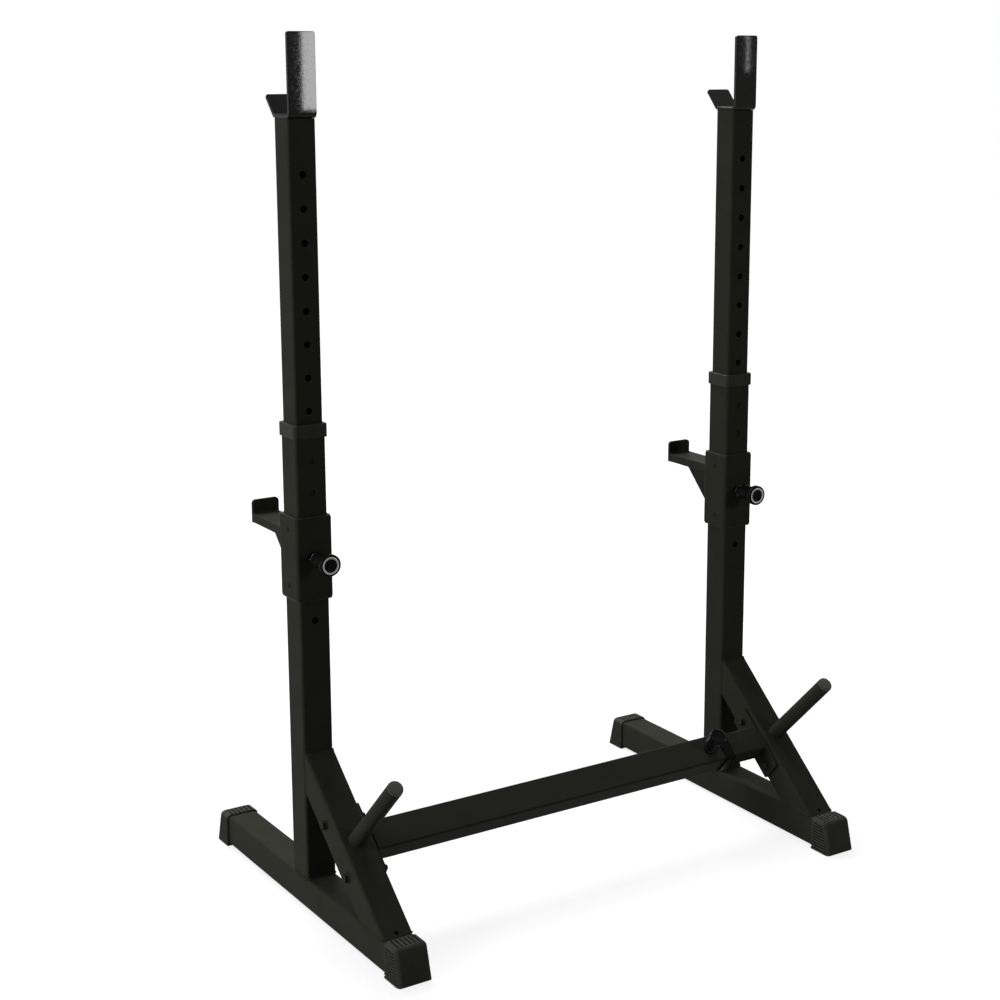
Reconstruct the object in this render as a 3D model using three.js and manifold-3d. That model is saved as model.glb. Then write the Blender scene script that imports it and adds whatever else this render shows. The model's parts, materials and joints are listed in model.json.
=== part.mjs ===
// Squat stand: two uprights with telescoping bar rests, sliding spotter arms and a telescoping crossbar.
// Millimetres, +Z up. X runs along the crossbar, -Y is the front, with the storage pegs and pull pins,
// and +Y is the lifter's side. The origin is on the floor, in the middle of the four feet.

import * as THREE from 'three';
import { mergeVertices } from 'three/addons/utils/BufferGeometryUtils.js';
import Module from 'manifold-3d';

// General fits
const seatGap = 0.3;          // between pieces that bear on each other
const slideGap = 0.5;         // between telescoping tubes, each side
const overrun = 10;           // how far a cutter runs past what it cuts
const mergeTolerance = 1e-4;

// Overall layout
const standSpacing = 820;     // upright to upright, centre to centre
const uprightSetback = 3;     // the upright stands this far behind the middle of its base
const holePitch = 50;
const pinHeight = 572.5;      // the carriages' pins, as the stand is set up
const rakeDegrees = 40.3;     // the brace above the horizontal
const rakeJointHeight = 264;  // where the brace's front face meets the upright

// Square frame tube: base, upright and brace
const frameTube = 50;
const frameWall = 2;
const frameCorner = 4;
const uprightTop = 774.8;
const uprightHolesAbove = 3;  // above the pin, as set up
const uprightHolesBelow = 2;
const pinHole = 10.8;
const drainHole = 6;
const drainFromTip = 8;

// Foot caps
const footReach = 323;        // middle of the base to the end of a cap, at the floor
const capWall = 2.5;
const capLength = 45;         // sleeve length along the floor
const capDraft = 14;          // how far the end face leans in from the floor to the top
const capEndWall = 5;
const capFlare = 1.2;         // the sides widen by this much towards the floor
const capRibDepth = 0.9;
const capSideRibs = 8;
const capTopRibs = 5;
const capRibShare = 0.55;     // rib width over rib pitch
const capEndEdge = 1.6;

// Telescoping upper tube, which stands on its pin
const upperTube = 45;
const upperWall = 2;
const upperCorner = 3.5;
const upperLength = 650;
const upperHoles = 12;

// Collars at the telescoping joints
const collarWall = 2.7;
const collarSkirt = 18;
const collarLip = 2.7;

// Bar hook: one bent plate
const hookThickness = 5;
const hookBendInner = 3;
const hookGuideHeight = 123;  // above the plate's underside
const hookOverhang = 4.5;     // of the saddle, behind the tube
const hookLipHeight = 30;
const hookLipLeanDegrees = 42;
const hookCornerRadius = 3;

// Carriage
const carriageTube = 60;
const carriageWall = 2.5;
const carriageCorner = 5;
const carriageHeight = 126;
const carriageDrop = 1.5;     // of its middle, below the pin
const linerFlange = 2;
const linerFlangeInset = 0.6;
const screwOffset = 44;       // from the carriage's middle, up and down
const screwHeadRadius = 3.4;
const screwHeadHeight = 1.4;
const screwShankRadius = 1.6;
const screwSocketRadius = 1.3;
const screwSocketDepth = 0.8;

// Spotter arm
const armWidth = 45;
const armHeight = 15;
const armWall = 2;
const armCorner = 2;
const armAbovePin = 22;       // the arm's underside
const armReach = 141;         // upright axis to the inner face of the stop
const stopThickness = 5;
const stopHeight = 36.5;
const stopCornerRadius = 6;
const gussetThickness = 4;
const gussetReach = 92;
const gussetDrop = 84;
const gussetTip = 4;

// Pull pins
const pinRadius = 5;
const pinTipChamfer = 1.2;
const pinFit = 0.35;          // radial running clearance
const pinStemRadius = 3;
const shoulderRadius = 6.8;
const shoulderLength = 2;
const housingHex = 19;        // across the flats
const housingHexHeight = 5.2;
const housingRadius = 8.5;
const housingBoreRadius = 7.4;
const housingEndWall = 2;
const springWireRadius = 0.5;
const springTurns = 5;
const knobWaistRadius = 12;
const knobGripRadius = 12.8;
const knobRimLength = 9;
const knobRimBand = 3;
const knobEdge = 1.5;
const knobLabelDepth = 0.5;
const knobBoreGap = 0.6;
const knobRunOut = 0.5;       // left between knob and housing when the pin is home
const stemGrip = 11;          // length of stem inside the knob's solid end
const stemCover = 3;          // knob left over the stem's end

// The carriages' pins
const carriagePinStroke = 8;
const carriageKnobEnd = 53;   // mounting face to the knob's end, with the pin pulled out
const carriageKnobRim = 17;

// The crossbar's pin
const barPinStroke = 6;
const barKnobEnd = 42;
const barKnobRim = 15;

// Storage peg
const pegRadius = 12.5;
const pegWall = 1.5;
const pegLength = 174;
const pegElevationDegrees = 45;
const pegAlong = 161;         // down the brace from its top joint
const plugHead = 3;
const plugHeadInset = 0.5;
const plugEdge = 1;
const plugCrown = 0.5;
const plugSpigot = 14;
const plugWall = 2;

// Crossbar
const barAlong = 158;         // down the brace from its top joint
const barHeight = 50;         // along the rake
const barDepth = 40;
const barWall = 2;
const barCorner = 3;
const barOuterEnd = 309;      // from the middle of the stand
const barInnerLength = 420;
const barPinFromEnd = 42;
const barPinHoles = 5;
const plateThickness = 5;
const plateHeight = 120;
const plateWidth = 43;
const plateSetback = 6;       // from the brace's front face
const plateCorner = 4;

// Crossbar bolts
const boltSpread = 46;        // from the bar's centreline, up and down the brace
const boltRadius = 4;
const boltHole = 9;
const boltHex = 13;
const boltHeadHeight = 5.3;
const washerRadius = 8.5;
const washerThickness = 1.6;
const nutHeight = 6.5;
const boltTail = 3;

// Roundness
const cornerSegments = 1.5;   // half the number of flats on a quarter round
const bendSegments = 3;
const holeSegments = 10;
const roundSegments = 16;
const wireSides = 2;
const coilSteps = 6;

// Finishes
const finishes = {
  frame: new THREE.MeshStandardMaterial({ color: 0x1d1d1b, roughness: 0.45, metalness: 0.2 }),
  hook: new THREE.MeshStandardMaterial({ color: 0x232322, roughness: 0.25, metalness: 0.3 }),
  plastic: new THREE.MeshStandardMaterial({ color: 0x121212, roughness: 0.5, metalness: 0 }),
  rubber: new THREE.MeshStandardMaterial({ color: 0x343433, roughness: 0.8, metalness: 0 }),
  steel: new THREE.MeshStandardMaterial({ color: 0xb4b4b2, roughness: 0.3, metalness: 1 }),
};

// Worked out from the sizes above
const halfTube = frameTube / 2;
const halfUpper = upperTube / 2;
const halfCarriage = carriageTube / 2;
const rake = THREE.MathUtils.degToRad(rakeDegrees);
const capOuter = frameTube + 2 * (capWall + seatGap);
const baseBottom = capWall + seatGap;
const baseTop = baseBottom + frameTube;
const baseLength = 2 * (footReach - capDraft - capEndWall - seatGap);
const uprightBottom = baseTop + seatGap;
const rakeLength = (rakeJointHeight - baseTop) / Math.sin(rake);
const pegTurn = Math.PI - rake - THREE.MathUtils.degToRad(pegElevationDegrees);
const upperBottom = pinHeight + pinRadius + seatGap;
const linerOuter = carriageTube - 2 * (carriageWall + seatGap);
const linerInner = frameTube + 2 * seatGap;
const linerWall = (linerOuter - linerInner) / 2;
const barEnd = standSpacing / 2 - halfTube - plateThickness - 2 * seatGap;
const plateMiddle = plateSetback + plateWidth / 2;
const barInnerHeight = barHeight - 2 * (barWall + slideGap);
const barInnerDepth = barDepth - 2 * (barWall + slideGap);
const barPinPlace = barOuterEnd - barPinFromEnd;
const knobSolid = stemCover + stemGrip;
const boltHeadProud = seatGap + washerThickness + boltHeadHeight;
const boltTailProud = seatGap + washerThickness + nutHeight + boltTail;

const wasm = await Module();
wasm.setup();

/** A closed three.js geometry as a solid that can be cut and joined. */
function toSolid(geometry) {
  const bare = geometry.index ? geometry.toNonIndexed() : geometry.clone();
  bare.deleteAttribute('normal');
  bare.deleteAttribute('uv');
  const merged = mergeVertices(bare, mergeTolerance);
  return new wasm.Manifold(new wasm.Mesh({
    numProp: 3,
    vertProperties: new Float32Array(merged.attributes.position.array),
    triVerts: new Uint32Array(merged.index.array),
  }));
}

/** The solid's triangles as a geometry. */
function toGeometry(solid) {
  const mesh = solid.getMesh();
  const geometry = new THREE.BufferGeometry();
  geometry.setAttribute('position', new THREE.BufferAttribute(new Float32Array(mesh.vertProperties), 3));
  geometry.setIndex(new THREE.BufferAttribute(new Uint32Array(mesh.triVerts), 1));
  geometry.computeVertexNormals();
  return geometry;
}

/** The first geometry less all the cutters. */
function cut(geometry, cutters) {
  return toGeometry(cutters.reduce((solid, cutter) => solid.subtract(toSolid(cutter)), toSolid(geometry)));
}

/** All the geometries joined into one. */
function join(geometries) {
  return toGeometry(geometries.map(toSolid).reduce((whole, piece) => whole.add(piece)));
}

/** A named sub-part in its finish. */
function part(name, geometry, finish) {
  const mesh = new THREE.Mesh(geometry, finishes[finish]);
  mesh.name = name;
  return mesh;
}

/** A shape with straight sides through the given points. */
function polygon(points) {
  return new THREE.Shape(points.map(([x, y]) => new THREE.Vector2(x, y)));
}

/** A rectangle with round corners, centred on the origin. */
function roundedRectangle(Outline, width, height, radius) {
  const outline = new Outline();
  const x = width / 2 - radius;
  const y = height / 2 - radius;
  outline.absarc(x, y, radius, 0, Math.PI / 2);
  outline.absarc(-x, y, radius, Math.PI / 2, Math.PI);
  outline.absarc(-x, -y, radius, Math.PI, 1.5 * Math.PI);
  outline.absarc(x, -y, radius, 1.5 * Math.PI, 2 * Math.PI);
  outline.closePath();
  return outline;
}

/** A shape pushed along +Z from z = 0. */
function extrude(shape, depth, curveSegments = cornerSegments) {
  return new THREE.ExtrudeGeometry(shape, { depth, bevelEnabled: false, curveSegments });
}

/** A solid bar along +Z with a rounded rectangular section. */
function roundedBar(width, height, radius, length) {
  return extrude(roundedRectangle(THREE.Shape, width, height, radius), length);
}

/** A rectangular tube along +Z from z = 0. */
function boxTube(width, height, wall, radius, length) {
  const shape = roundedRectangle(THREE.Shape, width, height, radius);
  shape.holes.push(roundedRectangle(THREE.Path, width - 2 * wall, height - 2 * wall, radius - wall / 2));
  return extrude(shape, length);
}

/** A box given by its lowest and highest corners. */
function blockBetween(low, high) {
  const size = high.map((value, axis) => value - low[axis]);
  return new THREE.BoxGeometry(...size).translate(...low.map((value, axis) => value + size[axis] / 2));
}

/** A cylinder along Y from one y to another. */
function rodAlongY(radius, from, to, segments = holeSegments) {
  return new THREE.CylinderGeometry(radius, radius, to - from, segments).translate(0, (from + to) / 2, 0);
}

/** A cylinder along X from one x to another. */
function rodAlongX(radius, from, to, segments = holeSegments) {
  return rodAlongY(radius, -to, -from, segments).rotateZ(Math.PI / 2);
}

/** A body of revolution about Y. The outline runs with y rising along its outer side. */
function turned(points, segments = roundSegments) {
  return new THREE.LatheGeometry(points.map(([radius, y]) => new THREE.Vector2(radius, y)), segments);
}

/** A hexagonal prism along +Z from z = 0. */
function hexPrism(acrossFlats, height) {
  const reach = acrossFlats / Math.sqrt(3);
  const angles = [0, 1, 2, 3, 4, 5].map((corner) => (corner * Math.PI) / 3);
  const corners = angles.map((angle) => [reach * Math.cos(angle), reach * Math.sin(angle)]);
  return extrude(polygon(corners), height);
}

/** A telescoping joint's plastic collar: a skirt over the outer tube, whose end is at z = 0, and a lip. */
function collar(outer, inner) {
  const wall = collarWall + seatGap;
  const ring = roundedBar(outer.width + 2 * wall, outer.height + 2 * wall, outer.corner + wall,
    collarSkirt + collarLip).translate(0, 0, -collarSkirt);
  const pocket = roundedBar(outer.width + 2 * seatGap, outer.height + 2 * seatGap, outer.corner,
    collarSkirt + overrun).translate(0, 0, -collarSkirt - overrun);
  const guide = roundedBar(inner.width + 2 * seatGap, inner.height + 2 * seatGap, inner.corner,
    collarSkirt + collarLip + 2 * overrun).translate(0, 0, -collarSkirt - overrun);
  return cut(ring, [pocket, guide]);
}

/** The outline of a foot cap's sleeve in X and Z, with its lengthwise ribs, from the floor up. */
function capOutline() {
  const half = capOuter / 2;
  const flareAt = (z) => half + capFlare * (1 - z / capOuter);
  const sidePitch = (capOuter - 2 * frameCorner) / capSideRibs;
  const topPitch = (capOuter - 2 * frameCorner) / capTopRibs;
  const side = [[half + capFlare, 0]];
  for (let rib = 0; rib < capSideRibs; rib += 1) {
    const low = frameCorner + rib * sidePitch;
    const high = low + capRibShare * sidePitch;
    const next = low + sidePitch;
    side.push([flareAt(low), low], [flareAt(high), high]);
    side.push([flareAt(high) - capRibDepth, high], [flareAt(next) - capRibDepth, next]);
  }
  const top = [[half - frameCorner, capOuter - capRibDepth]];
  for (let rib = 0; rib < capTopRibs; rib += 1) {
    const right = half - frameCorner - rib * topPitch;
    const left = right - capRibShare * topPitch;
    top.push([right, capOuter], [left, capOuter]);
    top.push([left, capOuter - capRibDepth], [right - topPitch, capOuter - capRibDepth]);
  }
  const otherSide = side.map(([x, z]) => [-x, z]).reverse();
  return polygon([...side, ...top, ...otherSide]);
}

/** A ribbed foot cap for the end of a base tube that points along +Y, with a leaning end face. */
function footCap() {
  const half = capOuter / 2;
  const lean = Math.atan2(capDraft, capOuter);
  const leaningHeight = capOuter / Math.cos(lean);
  const sleeve = extrude(capOutline(), capLength).rotateX(Math.PI / 2).translate(0, footReach, 0);
  const beyondEnd = blockBetween([-half - overrun, 0, -capOuter], [half + overrun, capLength, 2 * capOuter]);
  beyondEnd.rotateX(lean).translate(0, footReach - capEndWall / 2, 0);
  const face = roundedRectangle(THREE.Shape,
    capOuter + capFlare - 2 * capEndEdge, leaningHeight - 2 * capEndEdge, frameCorner);
  const bumper = new THREE.ExtrudeGeometry(face, {
    depth: capEndWall - 2 * capEndEdge,
    bevelThickness: capEndEdge,
    bevelSize: capEndEdge,
    bevelSegments: 1,
    curveSegments: cornerSegments,
  });
  bumper.rotateX(-Math.PI / 2).translate(0, capEndEdge - capEndWall, leaningHeight / 2);
  bumper.rotateX(lean).translate(0, footReach, 0);
  const pocketWidth = frameTube + 2 * seatGap;
  const pocket = roundedBar(pocketWidth, pocketWidth, frameCorner, baseLength / 2 + seatGap);
  pocket.rotateX(-Math.PI / 2).translate(0, 0, baseBottom + halfTube);
  const underFloor = blockBetween([-capOuter, 0, -capOuter], [capOuter, 2 * footReach, 0]);
  return cut(join([cut(sleeve, [beyondEnd]), bumper]), [pocket, underFloor]);
}

/** What is taken off a hook corner to round it, for a plate whose top edge is at z = 0. */
function cornerCutter(hand) {
  const inside = halfUpper - hookCornerRadius;
  const shape = new THREE.Shape();
  shape.moveTo(halfUpper + overrun, -hookCornerRadius);
  shape.lineTo(halfUpper + overrun, overrun);
  shape.lineTo(inside, overrun);
  shape.absarc(inside, -hookCornerRadius, hookCornerRadius, Math.PI / 2, 0, true);
  shape.closePath();
  const cutter = extrude(shape, 2 * hookThickness).rotateX(Math.PI / 2).translate(0, hookThickness, 0);
  return hand > 0 ? cutter : cutter.rotateZ(Math.PI);
}

/** The bar hook: guide in front, saddle on the tube's top, and a leaning lip behind. */
function barHook() {
  const outerBend = hookBendInner + hookThickness;
  const turn = Math.PI / 2 - THREE.MathUtils.degToRad(hookLipLeanDegrees);
  const front = -halfUpper - hookThickness;
  const frontBend = front + outerBend;
  const saddleEnd = halfUpper + hookOverhang;
  const backBend = saddleEnd - outerBend * Math.sin(turn);
  const lipStart = new THREE.Vector2(saddleEnd, outerBend * (1 - Math.cos(turn)));
  const lipWay = new THREE.Vector2(Math.cos(turn), Math.sin(turn));
  const lipEnd = lipStart.clone().addScaledVector(lipWay, (hookLipHeight - lipStart.y) / lipWay.y);
  const inward = new THREE.Vector2(-lipWay.y, lipWay.x);
  const lipInnerEnd = lipEnd.clone().addScaledVector(inward, hookThickness);
  const lipMiddle = lipEnd.clone().addScaledVector(inward, hookThickness / 2);

  const side = new THREE.Shape();
  side.moveTo(front, hookGuideHeight);
  side.absarc(frontBend, outerBend, outerBend, Math.PI, 1.5 * Math.PI);
  side.absarc(backBend, outerBend, outerBend, -Math.PI / 2, turn - Math.PI / 2);
  side.lineTo(lipEnd.x, lipEnd.y);
  side.lineTo(lipInnerEnd.x, lipInnerEnd.y);
  side.absarc(backBend, outerBend, hookBendInner, turn - Math.PI / 2, -Math.PI / 2, true);
  side.absarc(frontBend, outerBend, hookBendInner, 1.5 * Math.PI, Math.PI, true);
  side.lineTo(front + hookThickness, hookGuideHeight);
  side.closePath();
  const plate = extrude(side, upperTube, bendSegments);
  plate.rotateX(Math.PI / 2).rotateZ(Math.PI / 2).translate(-halfUpper, 0, 0);

  const cutters = [];
  for (const hand of [-1, 1]) {
    cutters.push(cornerCutter(hand).translate(0, front + hookThickness / 2, hookGuideHeight));
    cutters.push(cornerCutter(hand).rotateX(turn - Math.PI / 2).translate(0, lipMiddle.x, lipMiddle.y));
  }
  return cut(plate, cutters);
}

/** Clearance holes for the two liner screws, through a wall on the -X side. */
function screwHoles() {
  return [-1, 1].map((end) => rodAlongX(screwShankRadius + seatGap, -halfCarriage - overrun, 0)
    .translate(0, 0, end * screwOffset));
}

/** The plastic liner between a carriage and its upright, with a flange at each end. */
function carriageLiner() {
  const reach = carriageHeight / 2 + seatGap;
  const flangeWidth = carriageTube - 2 * linerFlangeInset;
  const sleeve = roundedBar(linerOuter, linerOuter, carriageCorner - carriageWall / 2, 2 * reach);
  const flange = roundedBar(flangeWidth, flangeWidth, carriageCorner, linerFlange);
  const whole = join([
    sleeve.translate(0, 0, -reach),
    flange.clone().translate(0, 0, reach),
    flange.translate(0, 0, -reach - linerFlange)]);
  const bore = roundedBar(linerInner, linerInner, frameCorner, carriageHeight + 2 * overrun);
  bore.translate(0, 0, -carriageHeight / 2 - overrun);
  const pinBore = rodAlongY(pinHole / 2, -halfCarriage, 0).translate(0, 0, carriageDrop);
  return cut(whole, [bore, pinBore, ...screwHoles()]);
}

/** A liner screw on the carriage's -X side. */
function linerScrew() {
  const socketFloor = screwSocketDepth - screwHeadHeight;
  const tip = seatGap + carriageWall + seatGap + linerWall / 2;
  return turned([
    [0, socketFloor], [screwSocketRadius, socketFloor], [screwSocketRadius, -screwHeadHeight],
    [screwHeadRadius - screwHeadHeight / 2, -screwHeadHeight], [screwHeadRadius, 0],
    [screwShankRadius, 0], [screwShankRadius, tip], [0, tip]], holeSegments)
    .rotateZ(-Math.PI / 2).translate(-halfCarriage - seatGap, 0, 0);
}

/** The spring inside a pin's housing: a helix about Y from one y to another. */
function coilSpring(radius, from, to) {
  class Helix extends THREE.Curve {
    getPoint(share, target = new THREE.Vector3()) {
      const angle = 2 * Math.PI * springTurns * share;
      return target.set(radius * Math.cos(angle), from + (to - from) * share, radius * Math.sin(angle));
    }
  }
  const wire = new THREE.Shape();
  wire.absarc(0, 0, springWireRadius, 0, 2 * Math.PI);
  return new THREE.ExtrudeGeometry(wire, {
    extrudePath: new Helix(),
    steps: springTurns * coilSteps,
    curveSegments: wireSides,
    bevelEnabled: false,
  });
}

/** A pull pin's four pieces, standing out along -Y from a face at y = 0, with the pin pulled out. */
function pullPin(name, { tip, stroke, knobEnd, knobRim }) {
  const knobFace = -knobEnd;
  const knobFloor = knobFace + knobSolid;
  const knobBack = -seatGap - housingHexHeight - stroke - knobRunOut;
  const stemTip = knobFace + stemCover;
  const housingFront = knobFloor + stroke + knobRunOut;
  const chamberFront = housingFront + housingEndWall;
  const chamberBack = -seatGap - housingEndWall;
  const shoulderBack = chamberBack - pinFit - stroke;
  const shoulderFront = shoulderBack - shoulderLength;

  const hex = hexPrism(housingHex, housingHexHeight).rotateX(Math.PI / 2).translate(0, -seatGap, 0);
  const barrel = rodAlongY(housingRadius, housingFront, -seatGap, roundSegments);
  const housing = cut(join([hex, barrel]), [
    rodAlongY(housingBoreRadius, chamberFront, chamberBack, roundSegments),
    rodAlongY(pinRadius + pinFit, chamberBack - housingEndWall, overrun, roundSegments),
    rodAlongY(pinStemRadius + pinFit, housingFront - overrun, chamberFront + housingEndWall)]);

  const pin = turned([
    [0, stemTip], [pinStemRadius, stemTip], [pinStemRadius, shoulderFront],
    [shoulderRadius, shoulderFront], [shoulderRadius, shoulderBack], [pinRadius, shoulderBack],
    [pinRadius, tip - pinTipChamfer], [pinRadius - pinTipChamfer, tip], [0, tip]]);

  const spring = coilSpring((pinStemRadius + housingBoreRadius) / 2,
    chamberFront + springWireRadius + seatGap, shoulderFront - springWireRadius - seatGap);

  const rimBack = knobFace + knobRimLength;
  const label = knobRim - knobRimBand;
  const knobBore = housingRadius + knobBoreGap;
  const knob = turned([
    [0, knobFace + knobLabelDepth], [label, knobFace + knobLabelDepth], [label, knobFace],
    [knobRim - knobEdge, knobFace], [knobRim, knobFace + knobEdge], [knobRim, rimBack - knobEdge],
    [knobRim - knobEdge, rimBack], [knobWaistRadius, (rimBack + knobBack) / 2],
    [knobGripRadius, knobBack - knobEdge], [knobGripRadius - knobEdge, knobBack], [knobBore, knobBack],
    [knobBore, knobFloor], [pinStemRadius + seatGap, knobFloor],
    [pinStemRadius + seatGap, stemTip - seatGap], [0, stemTip - seatGap]]);

  return [
    part(`${name}_pin_housing`, housing, 'steel'),
    part(`${name}_pin_spring`, spring, 'steel'),
    part(`${name}_pull_pin`, pin, 'steel'),
    part(`${name}_pull_knob`, knob, 'plastic')];
}

/** The plug in the end of a storage peg that runs along +Z, seated at z = 0. */
function pegPlug() {
  const spigot = pegRadius - pegWall - seatGap;
  const head = pegRadius - plugHeadInset;
  return turned([
    [0, 0], [spigot - plugWall, 0], [spigot - plugWall, -plugSpigot], [spigot, -plugSpigot],
    [spigot, seatGap], [head, seatGap], [head, plugHead - plugEdge], [head - plugEdge, plugHead],
    [0, plugHead + plugCrown]]).rotateX(Math.PI / 2);
}

/** A flanged bolt along +X through a side wall, its head on the -X side of x = 0. */
function crossBolt() {
  const grip = frameTube + plateThickness + 2 * seatGap + washerThickness + nutHeight + boltTail;
  return join([
    rodAlongX(washerRadius, -seatGap - washerThickness, -seatGap, roundSegments),
    hexPrism(boltHex, washerThickness + boltHeadHeight).rotateY(-Math.PI / 2).translate(-seatGap, 0, 0),
    rodAlongX(boltRadius, -seatGap - washerThickness, grip)]);
}

/** The flanged nut on a bolt's tail, on the +X side of x = 0. */
function crossNut() {
  const whole = join([
    rodAlongX(washerRadius, seatGap, seatGap + washerThickness, roundSegments),
    hexPrism(boltHex, washerThickness + nutHeight).rotateY(Math.PI / 2).translate(seatGap, 0, 0)]);
  return cut(whole, [rodAlongX(boltRadius + seatGap, -overrun, 2 * overrun)]);
}

/** A frame whose +Z runs up the brace and whose -Y looks out of the brace's front face. */
function rakedGroup() {
  const group = new THREE.Group();
  group.position.set(0, -halfTube, rakeJointHeight);
  group.rotation.x = rake - Math.PI / 2;
  return group;
}

/** The brace: a square tube mitred to the upright and to the base tube, in the raked frame. */
function brace() {
  const spare = 2 * frameTube;
  const long = rakeLength + 2 * spare;
  const tube = boxTube(frameTube, frameTube, frameWall, frameCorner, long);
  tube.translate(0, halfTube, -rakeLength - spare);
  const behindUpright = blockBetween([-frameTube, -seatGap, -long], [frameTube, long, long]);
  behindUpright.rotateX(Math.PI / 2 - rake);
  const belowBase = blockBetween([-frameTube, -long, -long], [frameTube, long, seatGap]);
  belowBase.rotateX(Math.PI / 2 - rake).translate(0, 0, -rakeLength);
  const bolts = [-1, 1].map((end) => rodAlongX(boltHole / 2, -frameTube, frameTube)
    .translate(0, plateMiddle, end * boltSpread - barAlong));
  const drain = rodAlongY(drainHole / 2, -overrun, frameWall + overrun);
  drain.translate(0, 0, drainFromTip - rakeLength);
  return cut(tube, [behindUpright, belowBase, drain, ...bolts]);
}

/** The storage peg along +Z, its foot cut to the brace's front face. */
function pegTube() {
  const inner = pegRadius - pegWall;
  const foot = -2 * pegRadius;
  const tube = turned([
    [inner, foot], [pegRadius, foot], [pegRadius, pegLength], [inner, pegLength], [inner, foot]]);
  const insideBrace = blockBetween([-frameTube, -seatGap, -frameTube], [frameTube, frameTube, frameTube]);
  return cut(tube.rotateX(Math.PI / 2), [insideBrace.rotateX(-pegTurn)]);
}

/** The plate on the end of the crossbar, flat in X and Y, with its two bolt holes. */
function crossbarPlate() {
  const plate = roundedBar(plateHeight, plateWidth, plateCorner, plateThickness);
  const holes = [-1, 1].map((end) => rodAlongY(boltHole / 2, -overrun, plateThickness + overrun)
    .rotateX(Math.PI / 2).translate(end * boltSpread, 0, 0));
  return cut(plate, holes);
}

/** One stand's base, upright and brace, with its caps, collar, peg, crossbar plate and bolts. */
function standFrame(name, inward) {
  const group = new THREE.Group();

  const foot = new THREE.Group();
  foot.position.y = -uprightSetback;
  const base = part(`${name}_base_tube`,
    boxTube(frameTube, frameTube, frameWall, frameCorner, baseLength), 'frame');
  base.rotation.x = -Math.PI / 2;
  base.position.set(0, -baseLength / 2, baseBottom + halfTube);
  const frontCap = part(`${name}_front_foot_cap`, footCap(), 'rubber');
  frontCap.rotation.z = Math.PI;
  foot.add(base, frontCap, part(`${name}_rear_foot_cap`, footCap(), 'rubber'));

  const holes = [];
  for (let step = -uprightHolesBelow; step <= uprightHolesAbove; step += 1) {
    const height = pinHeight + step * holePitch - uprightBottom;
    holes.push(rodAlongY(pinHole / 2, -halfTube - overrun, 0).translate(0, 0, height));
  }
  const tube = boxTube(frameTube, frameTube, frameWall, frameCorner, uprightTop - uprightBottom);
  const upright = part(`${name}_upright_tube`, cut(tube, holes), 'frame');
  upright.position.z = uprightBottom;

  const topCollar = part(`${name}_upright_collar`, collar(
    { width: frameTube, height: frameTube, corner: frameCorner },
    { width: upperTube, height: upperTube, corner: upperCorner }), 'plastic');
  topCollar.position.z = uprightTop + seatGap;

  const raked = rakedGroup();
  raked.add(part(`${name}_brace_tube`, brace(), 'frame'));

  const peg = new THREE.Group();
  peg.position.z = -pegAlong;
  peg.rotation.x = pegTurn;
  const plug = part(`${name}_peg_plug`, pegPlug(), 'plastic');
  plug.position.z = pegLength;
  peg.add(part(`${name}_storage_peg`, pegTube(), 'frame'), plug);
  raked.add(peg);

  const plateNear = inward > 0 ? halfTube + seatGap : -halfTube - seatGap - plateThickness;
  const plate = part(`${name}_crossbar_plate`, crossbarPlate(), 'frame');
  plate.rotation.y = Math.PI / 2;
  plate.position.set(plateNear, plateMiddle, -barAlong);
  raked.add(plate);

  const headFace = Math.min(-halfTube, plateNear);
  const nutFace = Math.max(halfTube, plateNear + plateThickness);
  for (const [place, end] of [['upper', 1], ['lower', -1]]) {
    const along = end * boltSpread - barAlong;
    const bolt = part(`${name}_${place}_bolt`, crossBolt(), 'frame');
    const nut = part(`${name}_${place}_nut`, crossNut(), 'frame');
    bolt.position.set(headFace, plateMiddle, along);
    nut.position.set(nutFace, plateMiddle, along);
    raked.add(bolt, nut);
  }

  group.add(foot, upright, topCollar, raked);
  return group;
}

/** The telescoping upper tube and the hook on its top. Its holes stand half a pitch off the upright's. */
function upperPost(name) {
  const group = new THREE.Group();
  group.position.z = upperBottom;
  const lowest = pinHeight + holePitch / 2 - upperBottom;
  const holes = [];
  for (let hole = 0; hole < upperHoles; hole += 1) {
    holes.push(rodAlongY(pinHole / 2, -halfUpper - overrun, 0).translate(0, 0, lowest + hole * holePitch));
  }
  const tube = boxTube(upperTube, upperTube, upperWall, upperCorner, upperLength);
  const hook = part(`${name}_bar_hook`, barHook(), 'hook');
  hook.position.z = upperLength + seatGap;
  group.add(part(`${name}_upper_tube`, cut(tube, holes), 'frame'), hook);
  return group;
}

/** The stop at the end of a spotter arm, in X and Y from its lower edge up. */
function spotterStop() {
  const half = armWidth / 2;
  const side = half - stopCornerRadius;
  const shape = new THREE.Shape();
  shape.moveTo(-half, 0);
  shape.lineTo(half, 0);
  shape.absarc(side, stopHeight - stopCornerRadius, stopCornerRadius, 0, Math.PI / 2);
  shape.absarc(-side, stopHeight - stopCornerRadius, stopCornerRadius, Math.PI / 2, Math.PI);
  shape.closePath();
  return extrude(shape, stopThickness, bendSegments);
}

/** The gusset under a spotter arm: out along +X and down along -Y, with blunt tips. */
function spotterGusset() {
  const outline = [
    [0, 0], [0, -gussetDrop], [gussetTip, -gussetDrop], [gussetReach, -gussetTip], [gussetReach, 0]];
  return extrude(polygon(outline), gussetThickness);
}

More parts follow.
